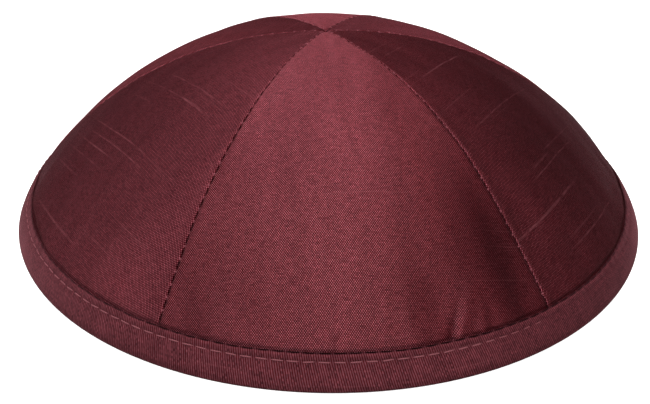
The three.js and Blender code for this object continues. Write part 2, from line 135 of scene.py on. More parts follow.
# Thick places of the weft that show one by one in the gores beside the front one, on the gore's flat
# cloth: across from its middle and down from the top, half length, half thickness in mm, strength
GORE_SLUBS = {
    "front_left": [(-5, 46.1, 18, 0.28, 0.6), (4, 45.9, 6, 0.4, 0.5), (-3, 41.4, 16, 0.28, 0.6),
                   (-16, 51.5, 5, 0.4, 0.4), (-11, 63.1, 18, 0.28, 0.75), (-8, 66.2, 18, 0.28, 0.75),
                   (-20, 69.2, 13, 0.35, 0.6), (-18, 72.9, 13, 0.35, 0.5), (-22, 78.0, 10, 0.4, 0.5),
                   (-11, 89.9, 16, 0.45, 0.65)],
    "front_right": [(0, 21.1, 5, 0.4, 0.4), (5, 32.9, 13, 0.35, 0.7), (4, 51.4, 17, 0.3, 0.55),
                    (12, 66.9, 10, 0.3, 0.5), (-2, 68.0, 6, 0.4, 0.4), (5, 70.0, 16, 0.3, 0.5),
                    (-11, 77.4, 18, 0.5, 0.55), (3, 88.1, 17, 0.35, 0.5)]}

# How each gore was cut: the step in metres from one gore's cloth to the next, for silk and for satin, and
# how many degrees the weft was laid off the gore's width
CUT_STEP = (0.37, 0.21)
SATIN_CUT_STEP = (0.31, 0.17)
GRAIN_TURNS = {"front_right": -8.0, "front_left": 3.0}

GORE_NAMES = ["front", "front_right", "back_right", "back", "back_left", "front_left"]


# Shape helpers

def bump(offset, width):
    """A bell: 1 in the middle and about a third at one width off it."""
    return np.exp(-((offset / width) ** 2))


def ease(value, low, high):
    """0 below low, 1 above high, and a smooth S between."""
    share = np.clip((value - low) / (high - low), 0, 1)
    return share * share * (3 - 2 * share)


def part_of_repeat(repeats):
    """What is left over from the nearest whole number of repeats, from -0.5 to 0.5."""
    return (repeats + 0.5) % 1 - 0.5


def turn_between(a, b):
    """The turn in degrees from b to a, between -180 and 180."""
    return (a - b + 180) % 360 - 180


def uneven_wave(arc, scale, sway, slow_scale):
    """A sine round the rim whose phase sways slowly, so that it never quite repeats."""
    return np.sin(arc / scale + sway * np.sin(arc / slow_scale))


def facing_front(angle):
    """1 at the front of the cap and about a third 55 degrees round from it."""
    return bump(turn_between(angle, FRONT), 55)


def crown_line(place):
    """Radius and height of the crown's side line: a superellipse from the top (0) to the binding (1),
    then the straight flared hem (to 2)."""
    place = np.asarray(place, float)
    turn = np.clip(place, 0, 1) * math.pi / 2
    radius = BAND_RADIUS * np.sin(turn) ** (2 / CROWN_ROUNDNESS)
    height = BAND_HEIGHT + (CAP_HEIGHT - BAND_HEIGHT) * np.maximum(np.cos(turn), 0) ** (2 / CROWN_FULLNESS)
    low = BAND_HEIGHT + (HEM_FOOT - BAND_HEIGHT) * (place - 1)
    hem = place > 1
    return (np.where(hem, BAND_RADIUS + BAND_FLARE * (BAND_HEIGHT - low), radius),
            np.where(hem, low, height))


def crown_under(place, depth):
    """The side line at a depth under the cloth's outer face, measured square to it, or level in the hem."""
    place = np.asarray(place, float)
    step = 0.002
    radius, height = crown_line(place)
    before = np.subtract((radius, height), crown_line(np.maximum(place - step, 0)))
    after = np.subtract(crown_line(place + step), (radius, height))
    along = sum(part / np.maximum(np.hypot(*part), 1e-12) for part in (before, after))
    along = along / np.maximum(np.hypot(*along), 1e-12)
    hem = place > 1
    return (np.where(hem, radius - depth * BAND_SLANT, radius + depth * along[1]),
            np.where(hem, height, height - depth * along[0]))


def cap_point(angle, radius, height):
    """A point of the cap for an angle in degrees: the gores swell between their seams by a cosine,
    and the junction on top drifts to one side."""
    share = np.minimum(radius / BAND_RADIUS, 1)
    swell = 1 + GORE_SWELL * np.cos(np.radians(GORES * angle)) * np.sin(math.pi * share ** SWELL_FOOT)
    drift = JUNCTION_DRIFT * (1 - share ** 2) ** 2
    turn = np.radians(angle)
    return np.stack([radius * swell * np.cos(turn) + drift, radius * swell * np.sin(turn),
                     np.broadcast_to(height, np.shape(radius * turn))], axis=-1)


# The side line measured once: places from the top to the hem's end, and their distances along it
LINE_STEPS = 2000
LINE_PLACES = np.linspace(0, 2, 2 * LINE_STEPS + 1)
LINE_LENGTHS = np.concatenate(
    [[0], np.cumsum(np.hypot(*np.diff(np.array(crown_line(LINE_PLACES)), axis=1)))])
RIM_LENGTH = float(np.interp(1.0, LINE_PLACES, LINE_LENGTHS))

# The rows of a gore are closer together from a little above the binding to just inside it, then a few follow
FOOT_ABOVE = 2
FOOT_INSIDE = 0.2
HEM_ROWS = 6


def rows_down(first_radius, last_place, spacing, foot_spacing):
    """Places spaced evenly along the side line, from a small radius at the top to a place in the hem, and
    closer together where the crown meets the binding. Second, their distances from the top."""
    crown = slice(LINE_STEPS + 1)
    first = np.interp(first_radius, crown_line(LINE_PLACES[crown])[0], LINE_LENGTHS[crown])
    last = np.interp(last_place, LINE_PLACES, LINE_LENGTHS)
    foot = RIM_LENGTH - FOOT_ABOVE
    lengths = np.concatenate([np.arange(first, foot, spacing),
                              np.arange(foot, RIM_LENGTH + FOOT_INSIDE, foot_spacing),
                              np.linspace(RIM_LENGTH + FOOT_INSIDE, last, HEM_ROWS)])
    return np.interp(lengths, LINE_LENGTHS, LINE_PLACES), lengths


def easing(angle, height):
    """Depth of the crown's dents: bells round the rim that fade upwards from the binding, and a few broad
    soft ones."""
    above = height - BAND_HEIGHT
    fade = bump(above - EASING_DEEPEST, EASING_DEEPEST) * ease(above, EASING_START, EASING_DEEPEST)
    eased = fade * sum(depth * bump(turn_between(angle, at), half) for at, half, depth in EASING_DENTS)
    soft = sum(depth * bump(turn_between(angle, at), half) * bump(height - level, tall)
               for at, level, half, tall, depth in SOFT_DENTS)
    return eased + soft * ease(above, 0, SOFT_DENTS_FULL)


def wall_at(wall, place):
    """A wall's thickness: full on the crown, thinned down where it runs into the binding."""
    return wall + (HEM_WALL - wall) * ease(place, *THINNING)


def new_mesh(name, points, faces, material, uv=None, shade=None):
    """A smooth-shaded object from points in mm and quads; uv is one pair in metres for each point, and shade
    is painted shade (to 1) or a painted highlight (below 0) on the cloth there."""
    mesh = bpy.data.meshes.new(name)
    faces = np.asarray(faces, np.int32)
    count = len(faces)
    mesh.vertices.add(len(points))
    mesh.vertices.foreach_set("co", (np.asarray(points) * MM).ravel())
    mesh.loops.add(faces.size)
    mesh.loops.foreach_set("vertex_index", faces.ravel())
    mesh.polygons.add(count)
    mesh.polygons.foreach_set("loop_start", np.arange(count, dtype=np.int32) * faces.shape[1])
    mesh.polygons.foreach_set("use_smooth", np.ones(count, bool))
    if uv is not None:
        layer = mesh.uv_layers.new(name="weave")
        layer.data.foreach_set("uv", np.asarray(uv, np.float32)[faces.ravel()].ravel())
    if shade is not None:
        layer = mesh.attributes.new("shade", "FLOAT", "POINT")
        layer.data.foreach_set("value", np.ravel(shade).astype(np.float32))
    mesh.update(calc_edges=True)
    mesh.validate()
    mesh.materials.append(material)
    made = bpy.data.objects.new(name, mesh)
    bpy.context.collection.objects.link(made)
    return made


def shell_faces(rows, columns):
    """Quads that close an outer grid and the inner grid that follows it in the point list."""
    ids = np.arange(rows * columns).reshape(rows, columns)
    under = ids + rows * columns
    outer = np.stack([ids[:-1, :-1], ids[1:, :-1], ids[1:, 1:], ids[:-1, 1:]], -1).reshape(-1, 4)
    inner = np.stack([under[:-1, 1:], under[1:, 1:], under[1:, :-1], under[:-1, :-1]], -1).reshape(-1, 4)
    left = np.stack([ids[:-1, 0], under[:-1, 0], under[1:, 0], ids[1:, 0]], -1)
    right = np.stack([ids[:-1, -1], ids[1:, -1], under[1:, -1], under[:-1, -1]], -1)
    top = np.stack([ids[0, :-1], ids[0, 1:], under[0, 1:], under[0, :-1]], -1)
    foot = np.stack([ids[-1, :-1], under[-1, :-1], under[-1, 1:], ids[-1, 1:]], -1)
    return np.concatenate([outer, inner, left, right, top, foot])


def ring_faces(rings, count, closed=True):
    """Quads between rings of count points, each joined to the next; closed joins the last to the first."""
    ring, point = np.meshgrid(np.arange(rings if closed else rings - 1), np.arange(count), indexing="ij")
    after, following = (ring + 1) % rings, (point + 1) % count
    return np.stack([ring * count + point, after * count + point,
                     after * count + following, ring * count + following], -1).reshape(-1, 4)


def turned(degrees):
    """The matrix that turns flat pairs by an angle."""
    a = math.radians(degrees)
    return np.array([[math.cos(a), math.sin(a)], [-math.sin(a), math.cos(a)]])


def flat_pattern(offset, length, radius, slope):
    """Where a point of a gore lay in the flat cloth, in metres: the gore is unrolled as a cone that
    touches it at that row, weft along the first number and warp along the second."""
    cone = radius / np.maximum(np.cos(slope), 0.05)
    return np.stack([cone * np.sin(offset / cone), length - cone * (1 - np.cos(offset / cone))], -1) * MM


def gore_rows(first_radius, last_place, spacing, foot_spacing):
    """What changes down a gore but not across it, each as one column: place, distance from the top, radius,
    height and slope of the side line, and half the gore's width."""
    place, length = rows_down(first_radius, last_place, spacing, foot_spacing)
    radius, height = crown_line(place)
    slope = np.arctan2(-np.gradient(height, length), np.gradient(radius, length))
    half_width = np.radians(GORE_STEP / 2) * radius - SEAM_CLEARANCE
    return [column[:, None] for column in (place, length, radius, height, slope, half_width)]


def gore_columns(half_width, edges, wide, count):
    """Signed distances in mm across a gore, one row for each half width: packed at both seams, more so where
    the gore is less than wide, and even between."""
    edge = edges * np.minimum(1, half_width / wide)
    left = edge - half_width
    middle = np.linspace(-1, 1, count)[1:-1] * (half_width - edge[:, -1:])
    return np.concatenate([left, middle, -left[:, ::-1]], axis=1)


def rolled_edge(roll, to_edge):
    """Depth of a cloth edge that rolls in by a quarter round. Second, how far inside the roll a point is."""
    inside = np.clip(roll - to_edge, 0, None)
    return roll - np.sqrt(np.maximum(roll ** 2 - inside ** 2, 0)), inside


def gore_shell(name, outer, inner, flat, material, shade=None):
    """The closed shell of a gore from its outer and inner grid, with the flat cloth's coordinates on both."""
    points = np.concatenate([outer.reshape(-1, 3), inner.reshape(-1, 3)])
    if shade is not None:
        shade = np.concatenate([shade.ravel(), np.zeros(shade.size)])
    return new_mesh(name, points, shell_faces(*outer.shape[:2]), material,
                    np.tile(flat.reshape(-1, 2), (2, 1)), shade)


def flat_size(half_width, length):
    """A gore's flat width and length in metres, and its flat area in square metres."""
    size = (2 * float(half_width.max()) * MM, float(length.max()) * MM)
    return size, float(np.trapz(2 * half_width[:, 0], length[:, 0])) * MM * MM


# Crown gores

EDGE_COLUMNS = np.array([0, 0.05, 0.11, 0.18, 0.26, 0.36, 0.5, 0.7, 1.0, 1.5, 2.2, 3.2, 4.6, 6.2])
WIDE_GORE = 16
MIDDLE_COLUMNS = 38
CREASED_COLUMNS = 84
ROWS_PER_STITCH = 8
FOOT_ROW = 0.12
TIP_RADIUS = 0.14
GORE_END = 1.75

# Relief of a gore's outer face, in mm unless said: the rolled seam, its ridge and the thread's pull
LEAST_ROLL = 0.07
STITCH_REACH = 0.5
STITCH_GRIP = 0.85
STITCH_SINK = 0.07
STITCH_SINK_WIDTH = 0.9
RIDGE_HEIGHT = 0.22
RIDGE_FROM_SEAM = 0.9
RIDGE_WIDTH = 1.4
ALLOWANCE_HEIGHT = 0.06
ALLOWANCE_FADE = 0.6
PULL_DEPTH = 0.05
PULL_LENGTH = 17
PULL_WIDTH = 3.0

# Distances from the top between which the seams' rolled edges and their ridges grow to full strength
ROLL_GROWS = (12, 50)
RIDGE_GROWS = (20, 55)

# Puckers above the binding: a step and scatter in degrees, depths, half widths in degrees and reaches in
# mm; and the height above the binding where puckers and small creases are deepest
PUCKER_STEP = 5.3
PUCKER_SCATTER = 2
PUCKER_SPANS = ((0.04, 0.3), (1.2, 2.2), (3, 10))
PUCKER_LEVEL = 1.5

# A small crease: its fold's width in mm, then its ridge as a share of the depth, mm to its right, and width
CREASE_WIDTH = 0.8
CREASE_RIDGE = 0.6
CREASE_RIDGE_ASIDE = 1.7
CREASE_RIDGE_WIDTH = 1.0

# Heights above the binding between which puckers and creases come out of it
GATHERS_FROM = (-0.3, 1.0)

# Waves of the panel: widths of those that run down it, their depth per width and sway; widths, depth and
# lean of those that run across it; then where they start from a seam and from the top
DOWN_WAVES = (34, 21, 13)
DOWN_WAVE_SHARE = 0.003
DOWN_WAVE_SWAY = 0.25
CROSS_WAVES = (30, 60)
CROSS_WAVE_DEPTH = 0.05
CROSS_WAVE_LEAN = 0.3
WAVES_FROM_SEAM = (1, 12)
WAVES_FROM_TOP = (6, 26)

# The dimple on top, the ditch along the binding, and the crown's edge inside the binding
DIMPLE_DEPTH = 0.5
DIMPLE_RADIUS = 1.3
DITCH_DEPTH = 0.12
DITCH_ABOVE = 0.55
DITCH_WIDTH = 0.3
HEM_EDGE = 0.3

# Painted shade and highlights of the seams, the ditch and the creases: where a dash ends, as a share of a
# stitch, then widths in mm and strengths
DASH_END = (0.12, 0.25)
DASH_WIDTH = 0.18
GLINT = 0.55
GLINT_WIDTH = 0.35
HIGHLIGHT_RIDGE_WIDTH = 0.22
DITCH_SHADE = 0.2
CREASE_SHADE = 0.6


def foot_creases(angle, above):
    """Depth in mm of the small creases above the binding: a narrow fold with a ridge on its right."""
    total = np.zeros_like(angle)
    for at, lean, reach, deep in FOOT_CREASES:
        off = np.radians(turn_between(angle, at + lean * above)) * BAND_RADIUS
        ridge = CREASE_RIDGE * bump(off - CREASE_RIDGE_ASIDE, CREASE_RIDGE_WIDTH)
        total += deep * (bump(off, CREASE_WIDTH) - ridge) * bump(above - PUCKER_LEVEL, reach)
    return total


def grown(length, least, span):
    """A share that grows down the gore from its least to 1."""
    return least + (1 - least) * ease(length, *span)


def wave(rng, distance, width):
    """A sine of that width with a random start."""
    return np.sin(2 * math.pi * distance / width + rng.uniform(0, 6))


def seam_edge(length, to_seam):
    """Depth in mm of a gore's edge: rolled in by a quarter round, tighter near the top and at each stitch,
    where the cloth beside it is drawn down too. Second, how far inside the roll a point is."""
    stitch = bump(part_of_repeat(length / SEAM_PITCH) * SEAM_PITCH, STITCH_REACH)
    roll = SEAM_ROLL * (1 - STITCH_GRIP * stitch) * grown(length, 0.25, ROLL_GROWS) + LEAST_ROLL
    rolled, inside = rolled_edge(roll, to_seam)
    return rolled + STITCH_SINK * stitch * bump(to_seam, STITCH_SINK_WIDTH), inside


def seam_ridge(length, to_seam):
    """Height in mm of the ridge beside a seam, and of the cloth over the seam allowance."""
    ridge = RIDGE_HEIGHT * bump(to_seam - RIDGE_FROM_SEAM, RIDGE_WIDTH)
    over = 1 - ease(to_seam, ALLOWANCE - ALLOWANCE_FADE, ALLOWANCE + ALLOWANCE_FADE)
    return (ridge + ALLOWANCE_HEIGHT * over) * grown(length, 0.35, RIDGE_GROWS)


def puckers(rng, angle, above):
    """Depth in mm of the puckers above the binding: bells all round, each with its own place, depth, width
    and reach."""
    total = np.zeros_like(angle)
    for at in np.arange(-180, 180, PUCKER_STEP):
        centre = at + rng.uniform(-PUCKER_SCATTER, PUCKER_SCATTER)
        deep, half, reach = (rng.uniform(*span) for span in PUCKER_SPANS)
        total += deep * bump(turn_between(angle, centre), half) * bump(above - PUCKER_LEVEL, reach)
    return total


def panel_waves(rng, offset, to_seam, length):
    """Depth in mm of the panel's soft waves: sines down it that sway and sines across it that lean, fading
    out at the seams and the top."""
    total = np.zeros_like(offset)
    for width in DOWN_WAVES:
        sway = rng.uniform(-DOWN_WAVE_SWAY, DOWN_WAVE_SWAY)
        total += width * DOWN_WAVE_SHARE * wave(rng, offset + sway * length, width)
        along = rng.uniform(*CROSS_WAVES)
        total += CROSS_WAVE_DEPTH * wave(rng, length + CROSS_WAVE_LEAN * offset, along)
    return total * ease(to_seam, *WAVES_FROM_SEAM) * ease(length, *WAVES_FROM_TOP)


def gore_relief(rng, angle, offset, to_seam, place, length, height):
    """Depth in mm of everything sewn and worn into a gore's outer face: the seam's rolled edge, ridge and
    pull, puckers and creases above the binding, waves, the dimple on top, the ditch along the binding, and
    the crown's dents. Inside the binding only the edge and the dents are left."""
    above = height - BAND_HEIGHT
    rolled, inside = seam_edge(length, to_seam)
    worn = rolled - seam_ridge(length, to_seam)
    worn += PULL_DEPTH * wave(rng, length, PULL_LENGTH) * bump(to_seam, PULL_WIDTH)
    worn += (puckers(rng, angle, above) + foot_creases(angle, above)) * ease(above, *GATHERS_FROM)
    worn += panel_waves(rng, offset, to_seam, length)
    worn += DIMPLE_DEPTH * bump(length, DIMPLE_RADIUS) + DITCH_DEPTH * bump(above - DITCH_ABOVE, DITCH_WIDTH)
    return np.where(place > 1, np.minimum(HEM_EDGE, inside), worn) + easing(angle, height)


def gore_shade(angle, offset, to_seam, length, height, edges):
    """How dark the gore is painted. A sewn edge is a row of dashes of painted shade, with a painted glint
    where each stitch pulls the cloth over, or a painted highlight along a ridge. The ditch along the binding
    gets painted shade; broad patches of painted shade and highlight, and the small creases' painted shade
    and highlight, are laid over it all."""
    dash = ease(np.abs(part_of_repeat(length / SEAM_PITCH)), *DASH_END)
    edge = np.where(offset < 0, *edges)
    painted_seam_dashes = edge * dash * bump(to_seam, DASH_WIDTH) - GLINT * (1 - dash) * bump(to_seam, GLINT_WIDTH)
    painted_highlight = edge * (0.65 + 0.35 * dash) * bump(to_seam - HIGHLIGHT_RIDGE_WIDTH, HIGHLIGHT_RIDGE_WIDTH)
    sewn = np.where(edge > 0, painted_seam_dashes * grown(length, 0.35, ROLL_GROWS), painted_highlight)
    # Painted shade in the ditch along the binding, darker at the front
    ditch = DITCH_SHADE * (1 + facing_front(angle)) * bump(height - BAND_HEIGHT - DITCH_ABOVE, DITCH_WIDTH)
    # Broad patches of painted shade and painted highlight
    lustre = sum(strength * bump(turn_between(angle, at), half) * bump(height - level, tall)
                 for at, level, half, tall, strength in PAINTED_LIGHT_PATCHES)
    # Painted shade in the small creases and a painted highlight on their ridges
    creased = CREASE_SHADE * foot_creases(angle, height - BAND_HEIGHT)
    return np.where(ditch > DITCH_SHADE / 2, np.maximum(sewn, ditch), sewn) + lustre + creased


def crown_gore(name, centre, seed, material, edges, grain):
    """One gore: a grid of rows down the crown's side line and columns across, its outer face moved in by
    the relief and its inner face a wall lower, closed along all four edges. Grain is how many degrees its
    weft was laid off the gore's width."""
    place, length, radius, height, slope, half_width = gore_rows(
        TIP_RADIUS, GORE_END, SEAM_PITCH / ROWS_PER_STITCH, FOOT_ROW)
    creased = any(abs(turn_between(at, centre)) < GORE_STEP / 2 for at, *_ in FOOT_CREASES)
    offset = gore_columns(half_width, EDGE_COLUMNS, WIDE_GORE, CREASED_COLUMNS if creased else MIDDLE_COLUMNS)
    to_seam = half_width - np.abs(offset)
    angle = centre + np.degrees(offset / radius)
    depth = gore_relief(np.random.default_rng(seed), angle, offset, to_seam, place, length, height)
    outer = cap_point(angle, *crown_under(place, depth))
    inner = cap_point(angle, *crown_under(place, wall_at(PANEL_WALL, place) + easing(angle, height)))
    flat = flat_pattern(offset, length, radius, slope) @ turned(grain) + np.array(CUT_STEP) * seed
    shade = gore_shade(angle, offset, to_seam, length, height, edges)
    return gore_shell(name, outer, inner, flat, material, shade), *flat_size(half_width, length)


# Rim binding

STEPS_PER_STITCH = 6
BIAS = 0.25

# The outer leg, from the foot up and over the fold: height, and how far it stands proud of the flare
OUTER_LEG = [(0.4, 0.3), (1.5, 0.28), (3.0, 0.2), (4.4, -0.02), (5.4, -0.34), (6.2, -0.7), (6.8, -0.98),
             (6.85, -1.18), (6.3, -1.3)]


# Stripes of the binding's relief, as height, distance below the edge and width in mm: the groove under the
# topstitches, the puff between them, and waves round the rim that each follow an uneven wave
GROOVE = (-0.09, TOPSTITCH_INSET, 0.4)
PUFF = (0.07, 0.75, 0.55)
RIM_WAVES = [((0.05, 3.6, 1.8), (4.7, 2, 31)), ((0.04, 3.9, 2.2), (11, 1.3, 47))]

# Its folded edge: how far it reaches down, then uneven waves of its height and of how far it stands out
EDGE_REACH = 1.1
EDGE_WANDER = (6.1, 1.7, 37)
EDGE_LIFT = (2.3, 2.2, 19)

# Stripes of its painted shade and light, given in the same way: a painted highlight line, the topstitches'
# painted shadow and patches
PAINTED_HIGHLIGHT_LINE = (-0.45, 0.6, 0.17)
STITCH_SHADOW = (0.35, TOPSTITCH_INSET - 0.22, 0.2)
PATCHES = (0.16, 4.5, 2.2)
PATCH_WAVE = (23, 1.5, 41)


def stripe(below_edge, strength, level, width):
    """A soft stripe along the binding at a distance below its edge."""
    return strength * bump(below_edge - level, width)


def binding_section():
    """Radius and height of the binding's closed section, counterclockwise from the outer foot: a softly
    bulged outer leg, a thin folded edge that touches the crown, the slot for the hems, and the inner leg
    that follows the crown up inside the lining. Corners are cut twice, which rounds them."""
    def outer(height, proud):
        return (RIM_RADIUS - BAND_FLARE * (height - FOOT_ROUND) + proud, height)

    def hem(height, depth):
        return (BAND_RADIUS + BAND_FLARE * (BAND_HEIGHT - height) - depth * BAND_SLANT, height)

    def leg(place, depth):
        return tuple(float(number) for number in crown_under(place, depth))

    inside = LEG_IN + BINDING_LEG
    line = np.array([
        (RIM_RADIUS - 1.6, 0.0), (RIM_RADIUS, 0.0), *(outer(*corner) for corner in OUTER_LEG),
        hem(5.0, -HEM_GAP), hem(1.0, -HEM_GAP), hem(1.0, LEG_IN), leg(1, LEG_IN),
        leg(INNER_LEG_TOP, LEG_IN), leg(INNER_LEG_TOP - 0.012, LEG_IN + BINDING_LEG / 2),
        leg(INNER_LEG_TOP, inside), leg(1, inside + 0.15), hem(3.0, inside + 0.1),
        hem(0.6, LEG_IN + 0.7), hem(0.0, LEG_IN + 0.2), hem(0.0, LEG_IN - 1.5)])
    for _ in range(2):
        following = np.roll(line, -1, axis=0)
        line = np.stack([0.75 * line + 0.25 * following, 0.25 * line + 0.75 * following], 1).reshape(-1, 2)
    return line


SECTION = binding_section()
ON_OUTER_LEG = SECTION[:, 0] > BAND_RADIUS - 0.2


def section_lengths():
    """Distance in mm of each point of the section from the top of the outer leg, measured down the leg and
    on round; positive down the outside. Second, the outward normal of the section at each point."""
    step = np.roll(SECTION, -1, axis=0) - SECTION
    length = np.concatenate([[0], np.cumsum(np.hypot(*step.T))[:-1]])
    top = int(np.argmax(np.where(ON_OUTER_LEG, SECTION[:, 1], -1)))
    along = np.roll(SECTION, -1, axis=0) - np.roll(SECTION, 1, axis=0)
    along /= np.hypot(*along.T)[:, None]
    return length[top] - length, np.stack([along[:, 1], -along[:, 0]], -1)


BELOW_EDGE, SECTION_NORMAL = section_lengths()


def binding_relief(below_edge, arc):
    """How far in mm the binding's outer face stands proud: sunk under each topstitch, puffed between them
    and along the edge, with slow waves round the rim."""
    outside = ease(below_edge, 0.1, 0.5) * (1 - ease(below_edge, 6.2, 7.0))
    stitch = 0.5 + 0.5 * np.cos(2 * math.pi * arc / EVEN_PITCH)
    groove = stripe(below_edge, *GROOVE) * (0.35 + 0.65 * stitch)
    puff = stripe(below_edge, *PUFF) * (1 - stitch)
    waves = sum(stripe(below_edge, *place) * uneven_wave(arc, *shape) for place, shape in RIM_WAVES)
    return outside * (groove + puff + waves)


def binding_shade(below_edge, arc):
    """How dark the binding is painted: a painted shadow line along its top edge, broken where each stitch
    holds it, a painted highlight line just under it, a painted shadow under the topstitches, painted shade
    towards the foot, and soft patches."""
    dash = ease(np.abs(part_of_repeat(arc / EVEN_PITCH + 0.04 * np.sin(arc / 13))), 0.05, 0.2)
    front = facing_front(np.degrees(arc / RIM_RADIUS))
    # Painted shadow in the crevice between the binding's top edge and the crown, in dashes broken at stitches
    line = (0.2 + 0.15 * front + (0.25 + 0.35 * front) * dash) * ease(below_edge, -1.6, -0.9)
    line = line * (1 - ease(below_edge, 0.2 + 0.1 * front, 0.36 + 0.12 * front))
    painted_highlight = stripe(below_edge, *PAINTED_HIGHLIGHT_LINE) * (0.4 + 0.6 * dash) * front
    stitched = stripe(below_edge, *STITCH_SHADOW) * (0.4 + 0.6 * front)
    # Painted shade, darker down towards the foot, more of it at the front
    foot = 0.1 * front * ease(below_edge, 2.5, 5.0) + 0.2 * ease(below_edge, 6.3, 7.2)
    patches = stripe(below_edge, *PATCHES) * uneven_wave(arc, *PATCH_WAVE)
    return line + (painted_highlight + stitched) * ease(below_edge, 0, 0.3) + foot + patches


def rim_binding(material):
    """The section carried round the rim, its outer face moved out by the relief; the edge's height
    wanders a little, as a hand-guided edge does."""
    steps = STEPS_PER_STITCH * TOPSTITCHES
    angle = np.linspace(0, 360, steps, endpoint=False)[:, None]
    arc = np.radians(angle) * RIM_RADIUS
    proud = binding_relief(BELOW_EDGE, arc)
    at_edge = bump(BELOW_EDGE, EDGE_REACH) * ON_OUTER_LEG
    held = np.cos(2 * math.pi * arc / EVEN_PITCH)
    wander = 0.07 * uneven_wave(arc, *EDGE_WANDER) + 0.015 * held
    lifted = 0.05 * uneven_wave(arc, *EDGE_LIFT) - 0.04 * held
    radius = SECTION[:, 0] + proud * SECTION_NORMAL[:, 0] + lifted * at_edge
    height = SECTION[:, 1] + proud * SECTION_NORMAL[:, 1] + wander * at_edge
    points = cap_point(angle, radius, height)
    flat = np.stack(np.broadcast_arrays(arc - BIAS * BELOW_EDGE, BELOW_EDGE), -1) * MM
    return new_mesh("silk_rim_binding", points.reshape(-1, 3), ring_faces(steps, len(SECTION)),
                    material, flat.reshape(-1, 2), binding_shade(BELOW_EDGE, arc))


# Threads

# Topstitches: how far they stand proud, how deep the cloth takes them in front and how much deeper on the
# right, between which turns from the front that starts and ends, how far their ends dip in, and how much
# their angle in degrees, depth and slant in mm scatter
TOPSTITCH_PROUD = 0.1
TOPSTITCH_SINK = 0.05
TOPSTITCH_DEEPER = 0.26
DEEPER_STARTS = (8, 30)
DEEPER_ENDS = (130, 180)
TOPSTITCH_DIP = 0.3
TOPSTITCH_SCATTER = (0.04, 0.015, 0.06)

# Seam threads: half length, depth and dip at the ends in mm, and how much their slant scatters
SEAM_THREAD_HALF = 0.55
SEAM_THREAD_DEPTH = -0.06
SEAM_THREAD_DIP = 0.35
SEAM_THREAD_SCATTER = 0.12


def thread_mesh(name, lines, sides, material, radius):
    """Short threads: each is a line of points (threads, points, 3) carried as a six-sided tube that tapers
    at both ends, each end closed by two faces."""
    lines = np.asarray(lines, float)
    threads, count, _ = lines.shape
    along = np.gradient(lines, axis=1)
    along /= np.linalg.norm(along, axis=-1, keepdims=True)
    across = np.cross(along, np.broadcast_to(np.asarray(sides, float)[:, None, :], along.shape))
    across /= np.linalg.norm(across, axis=-1, keepdims=True)
    up = np.cross(across, along)
    around = np.arange(6) * math.pi / 3
    taper = np.sqrt(np.clip(1 - np.linspace(-0.98, 0.98, count) ** 4, 0.05, 1))[None, :, None, None]
    ring = across[:, :, None] * np.cos(around)[:, None] + up[:, :, None] * np.sin(around)[:, None]
    points = (lines[:, :, None] + radius * taper * ring).reshape(-1, 3)
    first = np.arange(threads)[:, None, None] * count * 6
    tube = ring_faces(count, 6, closed=False)[:, [0, 3, 2, 1]]
    last = (count - 1) * 6
    ends = np.array([[3, 2, 1, 0], [5, 4, 3, 0], [last, last + 1, last + 2, last + 3],
                     [last, last + 3, last + 4, last + 5]])
    faces = (np.concatenate([tube, ends])[None] + first).reshape(-1, 4)
    return new_mesh(name, points, faces, material)


def topstitches(material):
    """The row of stitches round the binding: each lies on the outer leg and dips in at its ends. On the
    right of the front they are pulled deeper into the cloth."""
    spot = int(np.argmin(np.abs(BELOW_EDGE - TOPSTITCH_INSET)))
    out_radius, out_height = SECTION_NORMAL[spot]
    middle = np.arange(TOPSTITCHES)[:, None] * TOPSTITCH_STEP
    share = np.linspace(-1, 1, 6)[None, :]
    half = np.degrees(TOPSTITCH_LENGTH / 2 / RIM_RADIUS)
    rng = np.random.default_rng(5)
    astray, deeper, aslant = (rng.normal(0, scatter, middle.shape) for scatter in TOPSTITCH_SCATTER)
    angle = middle + 0.5 * TOPSTITCH_STEP + half * share + astray
    past_front = turn_between(middle, FRONT)
    right = ease(past_front, *DEEPER_STARTS) * (1 - ease(past_front, *DEEPER_ENDS))
    sunk = TOPSTITCH_SINK + TOPSTITCH_DEEPER * right
    lift = TOPSTITCH_PROUD - sunk - TOPSTITCH_DIP * np.abs(share) ** 5 + deeper
    slant = aslant * share
    radius = SECTION[spot, 0] + out_radius * lift - slant * 0.44
    height = SECTION[spot, 1] + out_height * lift + slant * 0.9
    lines = cap_point(angle, radius, height)
    outward = cap_point(middle, np.full_like(middle, out_radius), out_height)[:, 0]
    return thread_mesh("rim_topstitches", lines, outward - [JUNCTION_DRIFT, 0, 0], material, TOPSTITCH_THREAD)


def seam_stitches(material):
    """Small threads that cross each seam at the stitch pitch, a little under the cloth's face."""
    share = np.linspace(-1, 1, 5)[None, :]
    lengths = np.arange(SEAM_PITCH, RIM_LENGTH - 1, SEAM_PITCH)[:, None]
    radius, _ = crown_line(np.interp(lengths, LINE_LENGTHS, LINE_PLACES))
    across = np.degrees(SEAM_THREAD_HALF * share / np.maximum(radius, 2))
    rng = np.random.default_rng(11)
    lines, sides = [], []
    for seam in range(GORES):
        angle = seam * GORE_STEP
        slant = rng.normal(0, SEAM_THREAD_SCATTER, lengths.shape)
        here = np.interp(lengths + slant * share, LINE_LENGTHS, LINE_PLACES)
        dip = SEAM_THREAD_DIP * np.abs(share) ** 4
        depth = SEAM_THREAD_DEPTH + dip + easing(angle, crown_line(here)[1])
        lines.append(cap_point(angle + across, *crown_under(here, depth)))
        turn = math.radians(angle)
        sides.append(np.tile([math.cos(turn) * 0.4, math.sin(turn) * 0.4, 0.9], (len(lengths), 1)))
    return thread_mesh("seam_stitches", np.concatenate(lines), np.concatenate(sides), material, SEAM_THREAD)


# Lining

